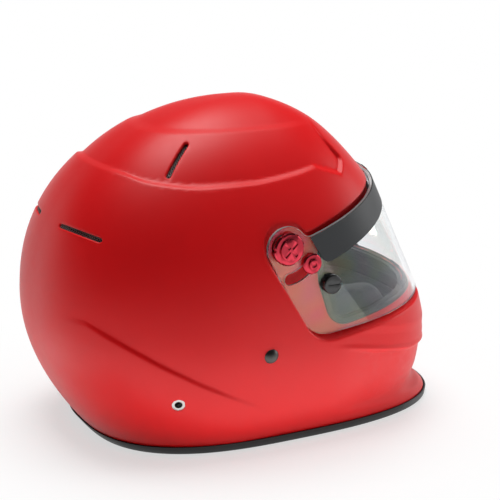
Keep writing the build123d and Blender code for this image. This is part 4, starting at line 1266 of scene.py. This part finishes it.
def make_trim():
    """Rubber channel on the bottom edge, its lips rounded."""
    wall, height, floor = TRIM_WALL, TRIM_HEIGHT, TRIM_FLOOR
    inner, gap = -SHELL_WALL, 0.3
    profile = [
        (wall, 1.0), (wall, height - 1.0), (wall - 0.5, height - 0.1), (gap + 0.2, height),
        (gap, height - 0.4), (gap, floor), (inner - gap, floor), (inner - gap, height - 0.4),
        (inner - gap - 0.2, height), (inner - wall + 0.4, height), (inner - wall, height - 0.8),
        (inner - wall, 0.8), (inner - wall + 0.8, 0.0), (wall - 0.9, 0.0), (wall - 0.25, 0.25),
    ]
    count = 300
    points = []
    for grow, level in profile:
        for k in range(count):
            px, py = rim_point(level, math.tau * k / count, grow)
            points.append((px, py, level))
    faces = []
    for k in range(len(profile)):
        m = (k + 1) % len(profile)
        for i in range(count):
            j = (i + 1) % count
            faces.append((k * count + i, k * count + j, m * count + j, m * count + i))
    obj = outwards(mesh_object("bottom_edge_trim_rubber", points, faces, 35))
    shade(obj, 35)
    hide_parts("bottom_edge_trim")
    return obj


# Padding

def padded_piece(node, name):
    """Foam under cloth: the CAD solid remeshed, blown up a little and smoothed."""
    obj = smooth_copy(node, name, 180)
    remesh = obj.modifiers.new("skin", "REMESH")
    remesh.mode = "VOXEL"
    remesh.voxel_size = PAD_VOXEL * MM
    apply_modifiers(obj)
    start = np.empty(len(obj.data.vertices) * 3, dtype=np.float32)
    obj.data.vertices.foreach_get("co", start)
    cloth = obj.modifiers.new("cloth", "CLOTH")
    cloth.settings.use_pressure = True
    cloth.settings.uniform_pressure_force = PAD_SWELL
    cloth.settings.effector_weights.gravity = 0
    scene = bpy.context.scene
    for number in range(1, PAD_FRAMES + 1):
        scene.frame_set(number)
    apply_modifiers(obj)
    scene.frame_set(1)
    end = np.empty_like(start)
    obj.data.vertices.foreach_get("co", end)
    move = (end - start).reshape(-1, 3)
    size = np.linalg.norm(move, axis=1, keepdims=True)
    move *= np.minimum(1, PAD_CAP * MM / np.maximum(size, 1e-9))
    obj.data.vertices.foreach_set("co", (start.reshape(-1, 3) + move).ravel())
    relax = obj.modifiers.new("relax", "SMOOTH")
    relax.factor = 0.5
    relax.iterations = 4
    fine = obj.modifiers.new("fine", "SUBSURF")
    fine.levels = fine.render_levels = 1
    apply_modifiers(obj)
    obj.data.shade_smooth()
    return obj


# Camera, lights and floor

CAMERA_TURN = math.radians(26.998)
CAMERA_TILT = math.radians(15.33)
CAMERA_DISTANCE = 1233.1
CAMERA_AIM = (0, WIDEST_Y, 130.0)
CAMERA_AIM_RIGHT = 12.455
CAMERA_AIM_UP = 4.547
CAMERA_LENS = 105.06
CAMERA_SENSOR = 36.0


# White cards that lie on the table out of the camera's sight: name, place, size in metres and power.
REFLECTORS = [
    ("table_reflector", -0.19, 0.03, (0.14, 0.42), 0.17),
    ("rear_reflector", -0.05, 0.3, (0.36, 0.14), 0.14),
    ("side_reflector", -0.47, -0.21, (0.26, 0.26), 0.2),
]


def make_camera():
    """Camera at the photograph's angle, on the wearer's right and a little behind."""
    look = Vector((
        math.cos(CAMERA_TURN) * math.cos(CAMERA_TILT), -math.sin(CAMERA_TURN) * math.cos(CAMERA_TILT),
        -math.sin(CAMERA_TILT)))
    right = look.cross(Vector((0, 0, 1))).normalized()
    up = right.cross(look)
    target = Vector(CAMERA_AIM) + right * CAMERA_AIM_RIGHT + up * CAMERA_AIM_UP
    data = bpy.data.cameras.new("camera")
    data.lens = CAMERA_LENS
    data.sensor_width = CAMERA_SENSOR
    camera = bpy.data.objects.new("camera", data)
    rows = Matrix((right, up, -look)).transposed().to_4x4()
    camera.matrix_world = Matrix.Translation((target - look * CAMERA_DISTANCE) * MM) @ rows
    bpy.context.collection.objects.link(camera)
    bpy.context.scene.camera = camera


def lamp(name, place, target, size, power):
    """Rectangular lamp in metres that faces a target."""
    data = bpy.data.lights.new(name, "AREA")
    data.shape = "RECTANGLE"
    data.size, data.size_y = size
    data.energy = power
    obj = bpy.data.objects.new(name, data)
    place, target = Vector(place), Vector(target)
    obj.location = place
    obj.rotation_euler = (target - place).to_track_quat("-Z", "Y").to_euler()
    bpy.context.collection.objects.link(obj)
    return obj


def seen_share(tree, glossy_share):
    """Share of the white background: all for the camera and through clear sheets, some for reflections."""
    rays = add_node(tree, "ShaderNodeLightPath", {}).outputs
    mirrored = add_node(tree, "ShaderNodeMath", {
        0: rays["Is Glossy Ray"], 1: glossy_share}, operation="MULTIPLY")
    direct = add_node(tree, "ShaderNodeMath", {
        0: rays["Is Camera Ray"], 1: rays["Is Transmission Ray"]}, operation="MAXIMUM")
    either = add_node(tree, "ShaderNodeMath", {
        0: direct.outputs[0], 1: mirrored.outputs[0]}, operation="MAXIMUM")
    return either.outputs[0]


def make_world():
    """White studio wall round the helmet, dark overhead and on the near side, as reflections show it."""
    world = bpy.data.worlds.new("studio")
    world.use_nodes = True
    tree = world.node_tree
    background = tree.nodes["Background"]
    way = add_node(tree, "ShaderNodeTexCoord", {}).outputs["Generated"]
    near = (-math.cos(CAMERA_TURN), math.sin(CAMERA_TURN), 0.0)
    facing = add_node(tree, "ShaderNodeVectorMath", {
        0: way, 1: near}, operation="DOT_PRODUCT").outputs["Value"]
    round_about = add_node(tree, "ShaderNodeMapRange", {
        "Value": facing, "From Min": 0.75, "From Max": -0.15}).outputs[0]
    height = add_node(tree, "ShaderNodeSeparateXYZ", {0: way}).outputs["Z"]
    low = add_node(tree, "ShaderNodeMapRange", {
        "Value": height, "From Min": 0.4, "From Max": 0.05}).outputs[0]
    white_share = add_node(tree, "ShaderNodeMath", {
        0: round_about, 1: low}, operation="MULTIPLY").outputs[0]
    seen = seen_share(tree, white_share)
    shade_of = add_node(tree, "ShaderNodeMix", {
        "Factor": seen, "A": (0.06, 0.06, 0.06, 1.0), "B": (1.0, 1.0, 1.0, 1.0)}, data_type="RGBA")
    tree.links.new(shade_of.outputs["Result"], background.inputs["Color"])
    background.inputs["Strength"].default_value = 1.0
    bpy.context.scene.world = world


def make_floor():
    """White paper: it takes the helmet's shadow, and turns to plain white further out."""
    size = 8.0
    corners = [(-size, -size, 0), (size, -size, 0), (size, size, 0), (-size, size, 0)]
    mesh = bpy.data.meshes.new("floor")
    mesh.from_pydata(corners, [], [(0, 1, 2, 3)])
    floor = bpy.data.objects.new("floor", mesh)
    bpy.context.collection.objects.link(floor)
    material, tree, shader, place = start_finish("white_paper", "FFFFFF", 0.9, Specular_IOR_Level=0.1)
    away = add_node(tree, "ShaderNodeVectorMath", {0: place}, operation="LENGTH").outputs["Value"]
    far = add_node(tree, "ShaderNodeMapRange", {
        "Value": away, "From Min": 0.15, "From Max": 0.30, "To Min": 0.62}).outputs[0]
    seen = seen_share(tree, 1.0)
    white = add_node(tree, "ShaderNodeMath", {0: far, 1: seen}, operation="MULTIPLY").outputs[0]
    backdrop = add_node(tree, "ShaderNodeEmission", {"Color": linear("FFFFFF"), "Strength": 1.0})
    both = add_node(tree, "ShaderNodeMixShader", {0: white, 1: shader.outputs[0], 2: backdrop.outputs[0]})
    tree.links.new(both.outputs[0], tree.nodes["Material Output"].inputs["Surface"])
    mesh.materials.append(material)


# The helmet

def hardware_finishes():
    """Finish, slot and body of each small CAD piece on both sides, and the D rings' steel."""
    aluminium = machined_metal("turned_aluminium", "B9BABC", 0.32, 0.6)
    anodised = machined_metal("red_anodised_aluminium", "AE3340", 0.17, 0.6)
    steel = machined_metal("stamped_steel", "B4B5B6", 0.3, 0.8)
    blackened = machined_metal("blackened_steel", "4A4947", 0.38, 0.8)
    bright = machined_metal("turned_stainless_steel", "A9A8A6", 0.25, 0.5)
    nylon = moulded_plastic("black_moulded_nylon", "161617", 0.4)
    return {
        "pivot_cap": (anodised, "anodised_red", "shell"),
        "pivot_spacer": (nylon, "black_plastic", "shell"),
        "pivot_insert": (aluminium, "bare_metal", "shell"),
        "detent_post": (anodised, "anodised_red", "shell"),
        "detent_insert": (aluminium, "bare_metal", "shell"),
        "tearoff_nut": (aluminium, "bare_metal", "visor"),
        "strap_rivet": (blackened, "rivet_dark", "shell"),
        "strap_anchor_plate": (steel, "bare_steel", "shell"),
        "tether_insert": (bright, "insert_dark", "shell"),
    }, steel


def make_helmet():
    """Every piece with its finish and body."""
    finish_with(make_shell(), satin_red_lacquer())
    finish_with(make_visor(), hard_coated_polycarbonate(), "visor")
    finish_with(make_strip(), printed_film(), "visor")
    finish_with(make_gasket(), rubber("moulded_seal_rubber", "1A1B1C", "27292B", 0.45, 0.6))
    finish_with(make_trim(), rubber("extruded_trim_rubber", "111213", "1C1E20", 0.45, 0.8))
    finish_with(smooth_copy("impact_liner", "impact_liner_foam", 35), polystyrene_bead_foam())
    knit = fire_resistant_knit()
    for node in ("comfort_liner", "chin_liner", "neck_roll", "cheek_pad_left", "cheek_pad_right"):
        finish_with(padded_piece(node, node + "_pad"), knit)
    webbing = nylon_webbing()
    for node in ("chin_strap_long_right", "chin_strap_short_left"):
        finish_with(smooth_copy(node, node + "_webbing", 35), webbing)
    finishes, steel = hardware_finishes()
    for node in ("d_ring_inner", "d_ring_outer"):
        finish_with(smooth_copy(node, node + "_steel", 35, 0.3), steel, node)
    acetal = moulded_plastic("black_acetal", "101011", 0.2)
    wire = moulded_plastic("coated_wire", "7A7472", 0.5)
    weave = woven_mesh_tree(wire)
    for hand in ("left", "right"):
        for kind, (material, slot, body) in finishes.items():
            node = kind + "_" + hand
            finish_with(smooth_copy(node, node + "_piece", 32, 0.12), material, body)
        node = "tearoff_post_" + hand
        finish_with(smooth_copy(node, node + "_piece", 32, 0.15), acetal, node)
        for mesh in VENT_PLACES:
            finish_with(make_vent_mesh(weave, mesh, hand), wire)


bpy.context.scene.view_settings.view_transform = "Standard"
make_camera()
make_world()
make_floor()
lamp("overhead_softbox", (0.25, 0.0, 1.8), (0, 0, 0.1), (1.1, 1.1), 30)
lamp("front_fill", (-0.4, -1.7, 0.6), (0, -0.1, 0.1), (0.8, 1.0), 10)
for name, x, y, size, power in REFLECTORS:
    lamp(name, (x, y, 0.004), (x, y, 1.0), size, power).visible_camera = False
make_helmet()
